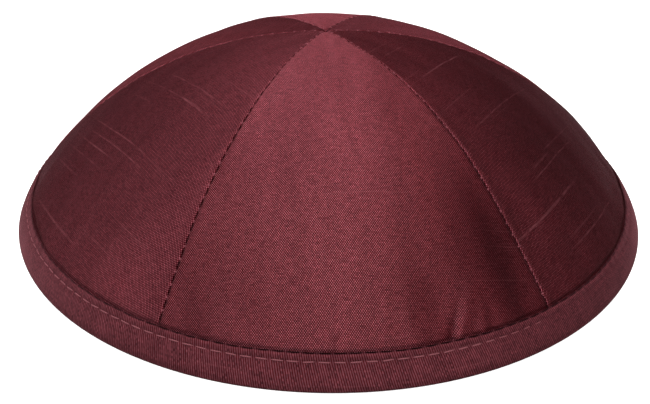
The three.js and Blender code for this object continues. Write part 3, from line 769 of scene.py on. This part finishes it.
LINING_COLUMNS = np.array([0, 0.06, 0.14, 0.25, 0.4, 0.65, 1.1, 1.9, 3.2])
WIDE_LINING = 12
LINING_MIDDLE_COLUMNS = 40
LINING_ROW = 0.66
LINING_TIP_RADIUS = 0.16
LINING_END = 1.6
LINING_ROLL = 0.14
LINING_TUCK = 0.16

# The lining's fine ripples and the cloth's rise beside its seams: height, then where and how wide
RIPPLE_HEIGHT = 0.12
RIPPLE_MIDDLE = 0.5
RIPPLE_REACH = 0.3
RISE_HEIGHT = 0.22
RISE_FROM_SEAM = 0.7
RISE_WIDTH = 0.8


def lining_slack(angle, place):
    """Height in mm of the slack lining's folds: broad bells, each with a creased crest."""
    tucked = ease(INNER_LEG_TOP - place, 0, LINING_TUCK)
    total = np.zeros_like(angle)
    for at, half, high, where in LINING_FOLDS:
        off = np.abs(turn_between(angle, at + FOLD_LEAN * (place - where)))
        crest = 0.6 * bump(off, half) + 0.4 * np.exp(-off / (half * 0.45))
        total += high * crest * bump(place - where, FOLD_REACH)
    return tucked * total


def lining_creases(x, y):
    """Height in mm of the lining's creases: ridges with one steep side that fade at both ends, and the
    patches pulled up on both sides of the clip."""
    total = np.zeros_like(x)
    for x0, y0, x1, y1, high, steep, soft in LINING_CREASES:
        length = math.hypot(x1 - x0, y1 - y0)
        along_x, along_y = (x1 - x0) / length, (y1 - y0) / length
        along = ((x - x0) * along_x + (y - y0) * along_y) / length
        bend = CREASE_BEND * np.sin(along * math.pi + x0)
        aside = np.clip((y - y0) * along_x - (x - x0) * along_y + bend, -60, 60)
        ridge = 1.7 / (np.exp(aside / steep) + np.exp(-aside / soft))
        total += high * ridge * ease(along, -0.15, 0.3) * (1 - ease(along, 0.7, 1.15))
    for x0, y0, wide, tall, high in LINING_PULLS:
        total += high * bump(x - x0, wide) * bump(y - y0, tall)
    return total


def lining_gore(name, centre, seed, material):
    """One lining gore, made as a crown gore is but lying under it, with its folds standing into the hollow
    and its seam edges rolled away from the wearer."""
    rng = np.random.default_rng(seed)
    place, length, radius, height, slope, half_width = gore_rows(
        LINING_TIP_RADIUS, LINING_END, LINING_ROW, LINING_ROW)
    offset = gore_columns(half_width, LINING_COLUMNS, WIDE_LINING, LINING_MIDDLE_COLUMNS)
    to_seam = half_width - np.abs(offset)
    angle = centre + np.degrees(offset / radius)
    under = wall_at(PANEL_WALL, place) + np.where(place < 1, LINING_GAP, HEM_GAP) + easing(angle, height)
    turn = np.radians(angle)
    creases = lining_creases(radius * np.cos(turn), radius * np.sin(turn))
    creases = creases * ease(INNER_LEG_TOP - place, 0.01, 0.12) * ease(radius, 3, 12)
    slack = lining_slack(angle, place) + creases
    ripple = np.sin(offset / 2.9 + 2 * np.sin(length / 13) + rng.uniform(0, 6))
    fine = RIPPLE_HEIGHT * ripple * bump(place - RIPPLE_MIDDLE, RIPPLE_REACH)
    rolled, _ = rolled_edge(LINING_ROLL, to_seam)
    rolled -= RISE_HEIGHT * bump(to_seam - RISE_FROM_SEAM, RISE_WIDTH) * ease(length, 3, 12)
    inner_depth = (under + slack + wall_at(LINING_WALL, place)
                   + fine * ease(INNER_LEG_TOP - place, 0, 0.2) - rolled)
    outer = cap_point(angle, *crown_under(place, under + slack * 0.999))
    inner = cap_point(angle, *crown_under(place, inner_depth))
    flat = flat_pattern(offset, length, radius, slope) + np.array(SATIN_CUT_STEP) * seed
    return gore_shell(name, outer, inner, flat, material), *flat_size(half_width, length)


# Node helpers

def feed(tree, socket, value):
    """Links a socket to the one given, or sets its own value."""
    if isinstance(value, bpy.types.NodeSocket):
        tree.links.new(value, socket)
    else:
        socket.default_value = value


def add_node(tree, kind, inputs=None, **settings):
    """A node with its settings, and its inputs given by name or number as values or as sockets to link."""
    made = tree.nodes.new(kind)
    for key, value in settings.items():
        setattr(made, key, value)
    for key, value in (inputs or {}).items():
        feed(tree, made.inputs[key], value)
    return made


def maths(tree, operation, *values):
    """A Math node's result for one to three values or sockets."""
    return add_node(tree, "ShaderNodeMath", dict(enumerate(values)), operation=operation).outputs[0]


def ramp(tree, value, low, high, first=0.0, last=1.0, interpolation="LINEAR"):
    """The value carried from between low and high to between first and last, and held at both ends."""
    inputs = {"Value": value, "From Min": low, "From Max": high, "To Min": first, "To Max": last}
    return add_node(tree, "ShaderNodeMapRange", inputs, interpolation_type=interpolation).outputs[0]


def noise(tree, place, scale=1.0, detail=0.0):
    """Soft noise at a place."""
    inputs = {"Vector": place, "Scale": scale, "Detail": detail}
    return add_node(tree, "ShaderNodeTexNoise", inputs).outputs["Fac"]


def place_of(tree, x, y, z=0.0):
    """A place from its three numbers."""
    return add_node(tree, "ShaderNodeCombineXYZ", {0: x, 1: y, 2: z}).outputs[0]


def blend_colour(tree, share, first, second, blend="MIX"):
    """The colour a Mix node makes from two colours."""
    inputs = {0: share, 6: first, 7: second}
    return add_node(tree, "ShaderNodeMix", inputs, data_type="RGBA", blend_type=blend).outputs[2]


def bump_normal(tree, height, strength, distance):
    """The normal that a Bump node makes from a height."""
    inputs = {"Height": height, "Strength": strength, "Distance": distance}
    return add_node(tree, "ShaderNodeBump", inputs).outputs[0]


def new_group(name, numbers, outputs):
    """An empty node group that takes a Vector and the numbers, each given with its default, and puts out the
    named numbers. Second and third, its inputs by name and the node that its results go into."""
    group = bpy.data.node_groups.new(name, "ShaderNodeTree")
    group.interface.new_socket("Vector", in_out="INPUT", socket_type="NodeSocketVector")
    for label, default in numbers.items():
        socket = group.interface.new_socket(label, in_out="INPUT", socket_type="NodeSocketFloat")
        socket.default_value = default
    for label in outputs:
        group.interface.new_socket(label, in_out="OUTPUT", socket_type="NodeSocketFloat")
    return group, group.nodes.new("NodeGroupInput").outputs, group.nodes.new("NodeGroupOutput")


def plain_weave_group():
    """Plain weave on flat cloth coordinates in metres. Height is a pillow in each crossing, Weft Up is 1
    where the weft lies on top, and Yarn is one value per yarn that also wanders along it."""
    group, given, out = new_group(
        "plain weave", {"Warp Pitch": 0.0005, "Weft Pitch": 0.0005, "Unevenness": 0.3, "Rib": 0.0},
        ("Height", "Weft Up", "Yarn"))
    place = add_node(group, "ShaderNodeSeparateXYZ", {0: given["Vector"]})
    sway = maths(group, "MULTIPLY", maths(group, "SUBTRACT", noise(group, given["Vector"], 260.0, 1.0), 0.5),
                 given["Unevenness"])
    warp = maths(group, "ADD", maths(group, "DIVIDE", place.outputs[0], given["Warp Pitch"]), sway)
    weft = maths(group, "ADD", maths(group, "DIVIDE", place.outputs[1], given["Weft Pitch"]), sway)
    across = maths(group, "SINE", maths(group, "MULTIPLY", warp, math.pi))
    down = maths(group, "SINE", maths(group, "MULTIPLY", weft, math.pi))
    crossing = maths(group, "MULTIPLY", across, down)
    weft_up = maths(group, "MULTIPLY_ADD", crossing, 1.8, 0.5)
    weft_up = add_node(group, "ShaderNodeClamp", {0: weft_up}).outputs[0]
    pillow = maths(group, "POWER", maths(group, "ABSOLUTE", crossing), 0.6)
    ribbed = {0: given["Rib"], 2: pillow, 3: maths(group, "ABSOLUTE", across)}
    height = add_node(group, "ShaderNodeMix", ribbed).outputs[0]
    warp_yarn, weft_yarn = maths(group, "FLOOR", warp), maths(group, "FLOOR", weft)
    along = noise(group, place_of(group, maths(group, "MULTIPLY", warp, 0.09), weft_yarn, 3.0), detail=2.0)
    up = noise(group, place_of(group, warp_yarn, maths(group, "MULTIPLY", weft, 0.05), 7.0), detail=2.0)
    yarn = maths(group, "ADD", maths(group, "MULTIPLY", along, weft_up),
                 maths(group, "MULTIPLY", up, maths(group, "SUBTRACT", 1.0, weft_up)))
    grain = add_node(group, "ShaderNodeTexWhiteNoise", {"Vector": place_of(group, warp_yarn, weft_yarn)},
                     noise_dimensions="2D").outputs[0]
    yarn = maths(group, "ADD", maths(group, "MULTIPLY", yarn, 0.76), maths(group, "MULTIPLY", grain, 0.24))
    for label, value in (("Height", height), ("Weft Up", weft_up), ("Yarn", yarn)):
        feed(group, out.inputs[label], value)
    return group


def slub_group():
    """Slubs: sparse long thick places of the weft. Mask is 0 off them and 1 on their middle; Haze is a
    broad soft streakiness along the warp."""
    group, given, out = new_group("silk slubs", {"Length": 0.03, "Thickness": 0.0005, "Sparseness": 0.665},
                                  ("Mask", "Haze"))
    place = add_node(group, "ShaderNodeSeparateXYZ", {0: given["Vector"]})
    drawn_out = place_of(group, maths(group, "DIVIDE", place.outputs[0], given["Length"]),
                         maths(group, "DIVIDE", place.outputs[1], given["Thickness"]), 1.0)
    mask = ramp(group, noise(group, drawn_out), given["Sparseness"], 0.84, interpolation="SMOOTHSTEP")
    broad = place_of(group, maths(group, "DIVIDE", place.outputs[0], 0.006),
                     maths(group, "DIVIDE", place.outputs[1], 0.035), 5.0)
    feed(group, out.inputs["Mask"], mask)
    feed(group, out.inputs["Haze"], noise(group, broad, detail=3.0))
    return group


def single_slub_group():
    """One slub: a mask that is about 1 on its middle line, which wanders and is beaded, and 0 past it."""
    group, given, out = new_group(
        "single slub", {"Across": 0.0, "Down": 0.0, "Reach": 0.01, "Thickness": 0.0004}, ("Mask",))
    place = add_node(group, "ShaderNodeSeparateXYZ", {0: given["Vector"]})
    wander = maths(group, "MULTIPLY_ADD", noise(group, given["Vector"], 150.0, 2.0), 0.0003, -0.00015)
    beside = maths(group, "SUBTRACT", maths(group, "ADD", place.outputs[1], wander), given["Down"])
    beside = maths(group, "DIVIDE", maths(group, "ABSOLUTE", beside), given["Thickness"])
    beyond = maths(group, "SUBTRACT", place.outputs[0], given["Across"])
    beyond = maths(group, "DIVIDE", maths(group, "ABSOLUTE", beyond), given["Reach"])
    line = ramp(group, beside, 1.0, 0.0, interpolation="SMOOTHSTEP")
    ends = ramp(group, beyond, 1.1, 0.5, interpolation="SMOOTHSTEP")
    beads = maths(group, "MULTIPLY_ADD", noise(group, given["Vector"], 420.0, 1.0), 3.2, -0.75)
    feed(group, out.inputs["Mask"], maths(group, "MULTIPLY", maths(group, "MULTIPLY", line, ends), beads))
    return group


def brushed_group():
    """Brushed and handled metal on object coordinates: Scratch is fine lines across the clip, Smudge soft
    patches of handling."""
    group, given, out = new_group("brushed metal", {}, ("Scratch", "Smudge"))
    lines = add_node(group, "ShaderNodeVectorMath", {0: given["Vector"], 1: (9000, 900, 900)},
                     operation="MULTIPLY").outputs[0]
    feed(group, out.inputs["Scratch"], noise(group, lines, detail=3.0))
    feed(group, out.inputs["Smudge"], noise(group, given["Vector"], 420.0, 3.0))
    return group


WEAVE = plain_weave_group()
SLUBS = slub_group()
ONE_SLUB = single_slub_group()
BRUSHED = brushed_group()


def new_material(name):
    """A material with an empty Principled shader, and its tree."""
    made = bpy.data.materials.new(name)
    made.use_nodes = True
    return made, made.node_tree, made.node_tree.nodes["Principled BSDF"]


def finish_shader(tree, shader, inputs):
    """Gives a shader its inputs by name, as values or as sockets to link."""
    for key, value in inputs.items():
        feed(tree, shader.inputs[key], value)


def group_node(tree, group, **inputs):
    """A node group placed in a material with its own inputs; its outputs by name."""
    made = tree.nodes.new("ShaderNodeGroup")
    made.node_tree = group
    for key, value in inputs.items():
        feed(tree, made.inputs[key.replace("_", " ")], value)
    return made.outputs


# Materials

# The gores' silk: its two yarns, its slubs, and the pitch of warp and weft in metres
DEEP_YARN = (0.062, 0.004, 0.0075, 1)
BRIGHT_YARN = (0.348, 0.0845, 0.1055, 1)
SLUB_COLOUR = (0.41, 0.13, 0.15, 1)
SILK_PITCHES = (0.000242, 0.00033)
SILK_SPECULAR = (0.62, 0.34, 0.39, 1)

# The binding's ribbed silk and its threads
BINDING_YARNS = ((0.128, 0.026, 0.033, 1), (0.146, 0.03, 0.038, 1))
BINDING_PITCHES = (0.0005, 0.0005)
SEAM_THREAD_COLOUR = (0.26, 0.066, 0.083, 1)
TOPSTITCH_COLOUR = (0.26, 0.078, 0.092, 1)

# The lining's satin and the clip's steel
SATIN_YARNS = ((0.72, 0.71, 0.70, 1), (0.84, 0.835, 0.83, 1))
SATIN_PITCHES = (0.00022, 0.0009)
BRIGHT_STEEL = (0.66, 0.67, 0.68, 1)
DARK_STEEL = (0.16, 0.16, 0.17, 1)
# Painted shade in the thumb plate's hollow and on the neck; painted dark reflections on prong edges and tip
HOLLOW_PAINTED_SHADE = (0.045, 0.045, 0.055, 1)
NECK_PAINTED_SHADE = (0.035, 0.035, 0.04, 1)
PRONG_EDGE_PAINTED_REFLECTION = (0.05, 0.05, 0.052, 1)
TIP_PAINTED_REFLECTION = (0.012, 0.012, 0.013, 1)

# How much more the fine weave varies in green and blue than in red: painted highlights that make the
# crests pale as though they caught white light; and about what it varies
PAINTED_CREST_HIGHLIGHT = 2.8
MEAN_CREST = 0.88

# The span of noise values that the silk's haze is read from
HAZE_SPAN = (0.3, 0.7)

# The clip: its thumb plate's end in metres and the direction to its tip; then where painted shade and dark
# reflections lie, in mm along it, the dark hollow's half width at the end and how fast it narrows, and how
# far off the middle the prong's painted dark reflections along its edges are
CLIP_END = (0.0, 78.47 * MM, 5.3 * MM)
CLIP_SLOPE = math.radians(38.5)
CLIP_DIRECTION = (0.0, -math.cos(CLIP_SLOPE), math.sin(CLIP_SLOPE))
CLIP_HOLLOW = (6.8, 15.2)
CLIP_NECK = (15.2, 18.6)
CLIP_PRONG = (21.0, 37.0)
CLIP_TIP = (37.0, 60.0)
HOLLOW_HALF_WIDTH = 4.6
HOLLOW_NARROWS = -0.22
PRONG_EDGES = (1.5, 9.0)

# Rounding of the clip's edges in metres, and the least angle of an edge that is rounded
EDGE_ROUNDING = 0.00018
EDGE_ANGLE = math.radians(38)


def silk(name, slub_share, yarns=(DEEP_YARN, BRIGHT_YARN), pitches=SILK_PITCHES, turn=0.25, rib=0.0,
         valleys=(0.42, 1.18), drawn=0.95, rough=0.55, metal=0.85, sheen=(0.03, (0.8, 0.46, 0.42, 1)),
         slub_size=(0.03, 0.0005), sparseness=0.665, placed=()):
    """Dupioni silk on the piece's own flat cloth coordinates: two yarn colours, uneven yarns with painted
    highlights on their crests and painted shade in the weave's valleys, slubs at random and one by one, and a
    lustre drawn out across the weft."""
    made, tree, shader = new_material(name)
    cloth = add_node(tree, "ShaderNodeUVMap", uv_map="weave").outputs[0]
    weave = group_node(tree, WEAVE, Vector=cloth, Warp_Pitch=pitches[0], Weft_Pitch=pitches[1],
                       Unevenness=0.5, Rib=rib)
    slubs = group_node(tree, SLUBS, Vector=cloth, Length=slub_size[0], Thickness=slub_size[1],
                       Sparseness=sparseness)
    slub = maths(tree, "MULTIPLY", slubs["Mask"], slub_share)
    for across, down, reach, thickness, share in placed:
        one = group_node(tree, ONE_SLUB, Vector=cloth, Across=across, Down=down, Reach=reach,
                         Thickness=thickness)
        slub = maths(tree, "MULTIPLY_ADD", one["Mask"], share, slub)
    # The shade attribute: painted shade where above 0, painted highlight where below 0
    shade = add_node(tree, "ShaderNodeAttribute", attribute_name="shade").outputs["Fac"]
    broad = maths(tree, "MULTIPLY", ramp(tree, slubs["Haze"], *HAZE_SPAN, 0.93, 1.07),
                  maths(tree, "SUBTRACT", 1.0, shade))
    broad = maths(tree, "MULTIPLY", broad, ramp(tree, weave["Yarn"], 0.25, 0.75, 0.5, 1.5))
    # Painted shade in the weave's valleys and painted highlights on its crests, paler in green and blue
    crest = ramp(tree, weave["Height"], 0.0, 0.9, *valleys)
    pale = maths(tree, "MULTIPLY_ADD", crest, PAINTED_CREST_HIGHLIGHT, MEAN_CREST * (1 - PAINTED_CREST_HIGHLIGHT))
    red = maths(tree, "MULTIPLY", crest, broad)
    others = maths(tree, "MULTIPLY", maths(tree, "MAXIMUM", pale, 0.0), broad)
    strength = add_node(tree, "ShaderNodeCombineColor", {0: red, 1: others, 2: others}).outputs[0]
    colour = blend_colour(tree, weave["Weft Up"], *yarns)
    colour = blend_colour(tree, 1.0, colour, strength, "MULTIPLY")
    height = maths(tree, "MULTIPLY_ADD", slub, 0.8, weave["Height"])
    tangent = add_node(tree, "ShaderNodeTangent", direction_type="UV_MAP", uv_map="weave").outputs[0]
    finish_shader(tree, shader, {
        "Base Color": blend_colour(tree, slub, colour, SLUB_COLOUR),
        "Roughness": ramp(tree, slubs["Haze"], *HAZE_SPAN, rough, rough - 0.09),
        "Metallic": metal, "Normal": bump_normal(tree, height, 0.55, 0.00009), "Tangent": tangent,
        "Anisotropic": drawn, "Anisotropic Rotation": turn,
        "Sheen Weight": sheen[0], "Sheen Roughness": 0.4, "Sheen Tint": sheen[1],
        "Specular IOR Level": 0.12, "Specular Tint": SILK_SPECULAR})
    return made


def placed_slubs(name):
    """The slubs of a gore's own list in the place of its cut, in metres."""
    cut = np.array(CUT_STEP) * (GORE_NAMES.index(name) + 1)
    return [(across * MM + cut[0], down * MM + cut[1], reach * MM, thickness * MM, share)
            for across, down, reach, thickness, share in GORE_SLUBS[name]]


def gore_silks():
    """One silk for each gore: calm in front and behind, more slubbed at the back right, coarser at the back
    left, and with slubs placed one by one beside the front."""
    calm = silk("wine_dupioni_calm", 0.18)
    silks = {"front": calm, "back": calm,
             "back_right": silk("wine_dupioni_slubbed", 0.5),
             "back_left": silk("wine_dupioni_coarse", 0.42, slub_size=(0.036, 0.0009))}
    for name in GORE_SLUBS:
        silks[name] = silk(f"wine_dupioni_{name}", 0.3, sparseness=0.72, placed=placed_slubs(name))
    return silks


def ribbed_silk():
    """The binding's silk: ribs instead of crossings, duller and softer than the gores'."""
    return silk("wine_binding_silk", 0.1, BINDING_YARNS, BINDING_PITCHES, 0.0, rib=1.0, valleys=(0.28, 1.2),
                drawn=0.5, rough=0.66, metal=0.5, sheen=(0.25, (0.8, 0.3, 0.35, 1)))


def satin(name):
    """White lining satin: fine warp floats, very soft creasing and a sheen."""
    made, tree, shader = new_material(name)
    cloth = add_node(tree, "ShaderNodeUVMap", uv_map="weave").outputs[0]
    weave = group_node(tree, WEAVE, Vector=cloth, Warp_Pitch=SATIN_PITCHES[0], Weft_Pitch=SATIN_PITCHES[1],
                       Unevenness=0.6)
    finish_shader(tree, shader, {
        "Base Color": blend_colour(tree, ramp(tree, weave["Yarn"], 0.3, 0.7), *SATIN_YARNS),
        "Normal": bump_normal(tree, weave["Height"], 0.3, 0.00004),
        "Roughness": 0.33, "Specular IOR Level": 0.7, "Sheen Weight": 0.15})
    return made


def thread(name, colour):
    """Twisted sewing thread: two plies shown as fine stripes of painted highlight and painted shade."""
    made, tree, shader = new_material(name)
    spot = add_node(tree, "ShaderNodeTexCoord").outputs["Object"]
    ply = add_node(tree, "ShaderNodeTexWave", {"Vector": spot, "Scale": 900.0, "Distortion": 1.5})
    light = tuple(min(1, c * 1.25) for c in colour[:3]) + (1,)
    dark = tuple(c * 0.7 for c in colour[:3]) + (1,)
    finish_shader(tree, shader, {"Base Color": blend_colour(tree, ply.outputs["Fac"], dark, light),
                                 "Roughness": 0.6, "Specular IOR Level": 0.2})
    return made


def clip_place(tree, spot):
    """Distance in mm along the clip from the end of its thumb plate, and distance off its middle line."""
    from_end = add_node(tree, "ShaderNodeVectorMath", {0: spot, 1: CLIP_END}, operation="SUBTRACT")
    along = add_node(tree, "ShaderNodeVectorMath", {0: from_end.outputs[0], 1: CLIP_DIRECTION},
                     operation="DOT_PRODUCT")
    side = add_node(tree, "ShaderNodeSeparateXYZ", {0: spot})
    return (maths(tree, "MULTIPLY", along.outputs["Value"], 1 / MM),
            maths(tree, "MULTIPLY", maths(tree, "ABSOLUTE", side.outputs[0]), 1 / MM))


def band(tree, value, span, soft=0.35):
    """1 between two values and 0 outside them, with soft ends."""
    low, high = span
    return maths(tree, "MULTIPLY", ramp(tree, value, low - soft, low + soft),
                 ramp(tree, value, high - soft, high + soft, 1.0, 0.0))


def steel(name, colour, roughness):
    """Brushed nickel-plated steel with handling smudges, with painted shade in the thumb plate's pressed
    hollow and on the neck, and painted dark reflections along the prong's edges and at the tip."""
    made, tree, shader = new_material(name)
    spot = add_node(tree, "ShaderNodeTexCoord").outputs["Object"]
    metal = group_node(tree, BRUSHED, Vector=spot)
    along, off = clip_place(tree, spot)
    narrowing = maths(tree, "MULTIPLY_ADD", along, HOLLOW_NARROWS, HOLLOW_HALF_WIDTH)
    hollow = maths(tree, "MULTIPLY", band(tree, along, CLIP_HOLLOW), maths(tree, "LESS_THAN", off, narrowing))
    edges = maths(tree, "MULTIPLY", band(tree, along, CLIP_PRONG), band(tree, off, PRONG_EDGES, 0.25))
    shade = blend_colour(tree, metal["Smudge"], tuple(c * 0.82 for c in colour[:3]) + (1,), colour)
    for where, dark in ((hollow, HOLLOW_PAINTED_SHADE), (band(tree, along, CLIP_NECK), NECK_PAINTED_SHADE), (edges, PRONG_EDGE_PAINTED_REFLECTION),
                        (band(tree, along, CLIP_TIP), TIP_PAINTED_REFLECTION)):
        shade = blend_colour(tree, where, shade, dark)
    finish_shader(tree, shader, {
        "Base Color": shade, "Metallic": 1.0,
        "Roughness": ramp(tree, metal["Scratch"], 0.0, 1.0, roughness - 0.08, roughness + 0.12),
        "Normal": bump_normal(tree, metal["Scratch"], 0.15, 0.00002)})
    return made


def carried_over(node, material):
    """A CAD node that keeps its shape: its loose triangles are joined, its edges rounded and its slots
    given the finished material."""
    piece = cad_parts[node]
    for slot in piece.material_slots:
        slot.material = material
    joined = piece.modifiers.new("joined", "WELD")
    joined.merge_threshold = 1e-6
    soft = piece.modifiers.new("rounded", "BEVEL")
    soft.width = EDGE_ROUNDING
    soft.segments = 2
    soft.limit_method = "ANGLE"
    soft.angle_limit = EDGE_ANGLE
    soft.harden_normals = False


# Camera, floor and light

# The camera fitted to the photograph: its angle round from the front and its height angle in radians, its
# distance from a point over the rim's centre and that point's height in rim radii, then small turns in
# radians from looking back at that point; last, its focal length in the photograph's pixels
CAMERA_ROUND = -0.0886
CAMERA_TILT = 0.3884
CAMERA_DISTANCE = 2.361
CAMERA_CENTRE = 0.3
CAMERA_YAW = -0.0045
CAMERA_PITCH = 0.1412
CAMERA_ROLL = -0.0095
SENSOR = 36.0
FOCAL_PIXELS = 720.3
PHOTO_WIDTH = 650

# The floor in mm: radii of its flat rings, then the radius of its bend and the height of its wall
FLOOR_RINGS = [1, 120, 400, 1200]
FLOOR_BEND = 900
FLOOR_TOP = 2200
FLOOR_SIDES = 96
PAPER = ((0.86, 0.86, 0.855, 1), (0.90, 0.90, 0.895, 1))
PAPER_SEEN = (0.35, 0.35, 0.35, 1)

# Softboxes: name, angle round from the front and height angle in degrees, width and height in metres, power
SOFTBOXES = [("overhead", 0, 80, 0.5, 0.5, 6.1), ("overhead_left", -90, 70, 0.3, 0.3, 0.5),
             ("front_low", 0, 8, 0.2, 0.3, 3.1), ("left_low", -85, 12, 0.4, 0.3, 1.3),
             ("back_left", -130, 40, 0.5, 0.5, 0.9), ("back", 180, 40, 0.5, 0.5, 1.0),
             ("back_high", 180, 65, 0.4, 0.4, 0.75), ("back_right", 130, 40, 0.5, 0.5, 0.35)]
SOFTBOX_DISTANCE = 0.9
SOFTBOX_AIM = 0.02
SURROUND = 0.02


def direction(around, tilt):
    """The unit vector from the cap towards an angle round from the front and a height angle, in radians."""
    return Vector((math.sin(around) * math.cos(tilt), -math.cos(around) * math.cos(tilt), math.sin(tilt)))


def photo_camera():
    """The camera that the photograph's outline, seams and rim were fitted to: it looks back along its own
    direction from the cap, then turns by the three small angles."""
    back = direction(CAMERA_ROUND, CAMERA_TILT)
    right = Vector((math.cos(CAMERA_ROUND), math.sin(CAMERA_ROUND), 0))
    level = Matrix((right, back.cross(right), back))
    turns = (Matrix.Rotation(CAMERA_ROLL, 3, "Z") @ Matrix.Rotation(CAMERA_PITCH, 3, "X")
             @ Matrix.Rotation(CAMERA_YAW, 3, "Y"))
    lens = bpy.data.cameras.new("photo_camera")
    lens.sensor_width = SENSOR
    lens.lens = FOCAL_PIXELS / PHOTO_WIDTH * SENSOR
    lens.clip_start, lens.clip_end = 0.005, 20.0
    camera = bpy.data.objects.new("photo_camera", lens)
    camera.matrix_world = (turns @ level).transposed().to_4x4()
    camera.location = (CAMERA_DISTANCE * back + Vector((0, 0, CAMERA_CENTRE))) * RIM_RADIUS * MM
    bpy.context.collection.objects.link(camera)
    bpy.context.scene.camera = camera


def pale_paper():
    """Faintly mottled white paper that the camera sees as an even pale ground."""
    made, tree, shader = new_material("pale_paper")
    spot = add_node(tree, "ShaderNodeTexCoord").outputs["Object"]
    seen = add_node(tree, "ShaderNodeLightPath").outputs["Is Camera Ray"]
    mottled = blend_colour(tree, noise(tree, spot, 60.0, 4.0), *PAPER)
    finish_shader(tree, shader, {
        "Base Color": blend_colour(tree, seen, PAPER_SEEN, mottled),
        "Emission Color": (1, 1, 1, 1), "Emission Strength": maths(tree, "MULTIPLY", seen, 0.8),
        "Roughness": 0.9, "Specular IOR Level": 0.1})
    return made


def studio_floor():
    """A pale round floor that curves up into a low wall all round, so that no horizon shows: rings whose
    radius and height follow a flat, a quarter turn and a wall."""
    flat = FLOOR_RINGS[-1]
    bend = np.linspace(0, math.pi / 2, 16)[1:]
    radius = np.concatenate([FLOOR_RINGS, flat + FLOOR_BEND * np.sin(bend), [flat + FLOOR_BEND]])
    height = np.concatenate([np.zeros(len(FLOOR_RINGS)), FLOOR_BEND * (1 - np.cos(bend)), [FLOOR_TOP]])
    turn = np.arange(FLOOR_SIDES) * 2 * math.pi / FLOOR_SIDES
    points = np.stack(np.broadcast_arrays(radius[:, None] * np.cos(turn), radius[:, None] * np.sin(turn),
                                          height[:, None]), -1).reshape(-1, 3)
    faces = ring_faces(len(radius), FLOOR_SIDES, closed=False)
    floor = new_mesh("studio_floor", points, faces, pale_paper())


def softbox(name, around, elevation, width, height, power):
    """A rectangular area light that looks at the cap from an angle round it and a height, in degrees."""
    light = bpy.data.lights.new(name, "AREA")
    light.shape = "RECTANGLE"
    light.size, light.size_y = width, height
    light.energy = power
    lamp = bpy.data.objects.new(name, light)
    back = direction(math.radians(around), math.radians(elevation))
    lamp.location = back * SOFTBOX_DISTANCE + Vector((0, 0, SOFTBOX_AIM))
    lamp.rotation_mode = "QUATERNION"
    lamp.rotation_quaternion = (-back).to_track_quat("-Z", "Y")
    bpy.context.collection.objects.link(lamp)


def studio_light():
    """A faint even surround and softboxes placed and weighed so that the silk shades as in the photograph."""
    world = bpy.data.worlds.new("studio")
    world.use_nodes = True
    surround = world.node_tree.nodes["Background"]
    surround.inputs["Color"].default_value = (1, 1, 1, 1)
    surround.inputs["Strength"].default_value = SURROUND
    bpy.context.scene.world = world
    for box in SOFTBOXES:
        softbox(*box)
    bpy.context.scene.view_settings.view_transform = "Standard"


# Making it all

def build_gores():
    """The six crown gores, each with its lining gore under it."""
    silks = gore_silks()
    white_satin = satin("white_satin")
    for index, name in enumerate(GORE_NAMES):
        centre = FRONT + index * GORE_STEP
        gore, flat, area = crown_gore(f"silk_gore_{name}", centre, index + 1, silks[name],
                                      EDGE_SHADES[name], GRAIN_TURNS.get(name, 0.0))
        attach(gore, "cap")
        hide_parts(f"crown_panel_{name}")
        gore, flat, area = lining_gore(f"satin_gore_{name}", centre + LINING_TURN, index + 1, white_satin)
        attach(gore, "cap")
        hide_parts(f"lining_panel_{name}")


def build_rim():
    """The binding and the two sorts of stitches."""
    binding = rim_binding(ribbed_silk())
    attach(binding, "cap")
    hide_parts("rim_binding")
    for piece, slot in ((topstitches(thread("topstitch_thread", TOPSTITCH_COLOUR)), "binding_silk"),
                        (seam_stitches(thread("seam_thread", SEAM_THREAD_COLOUR)), "crown_silk")):
        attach(piece, "cap")


def build_clip():
    """The clip's four nodes keep their shapes."""
    bright_steel = steel("clip_steel", BRIGHT_STEEL, 0.26)
    dark_steel = steel("clip_spring_steel", DARK_STEEL, 0.34)
    for node, material in (("clip_base", dark_steel), ("clip_lever", bright_steel),
                           ("clip_pin", bright_steel), ("clip_spring", dark_steel)):
        carried_over(node, material)


photo_camera()
studio_floor()
studio_light()
build_gores()
build_rim()
build_clip()
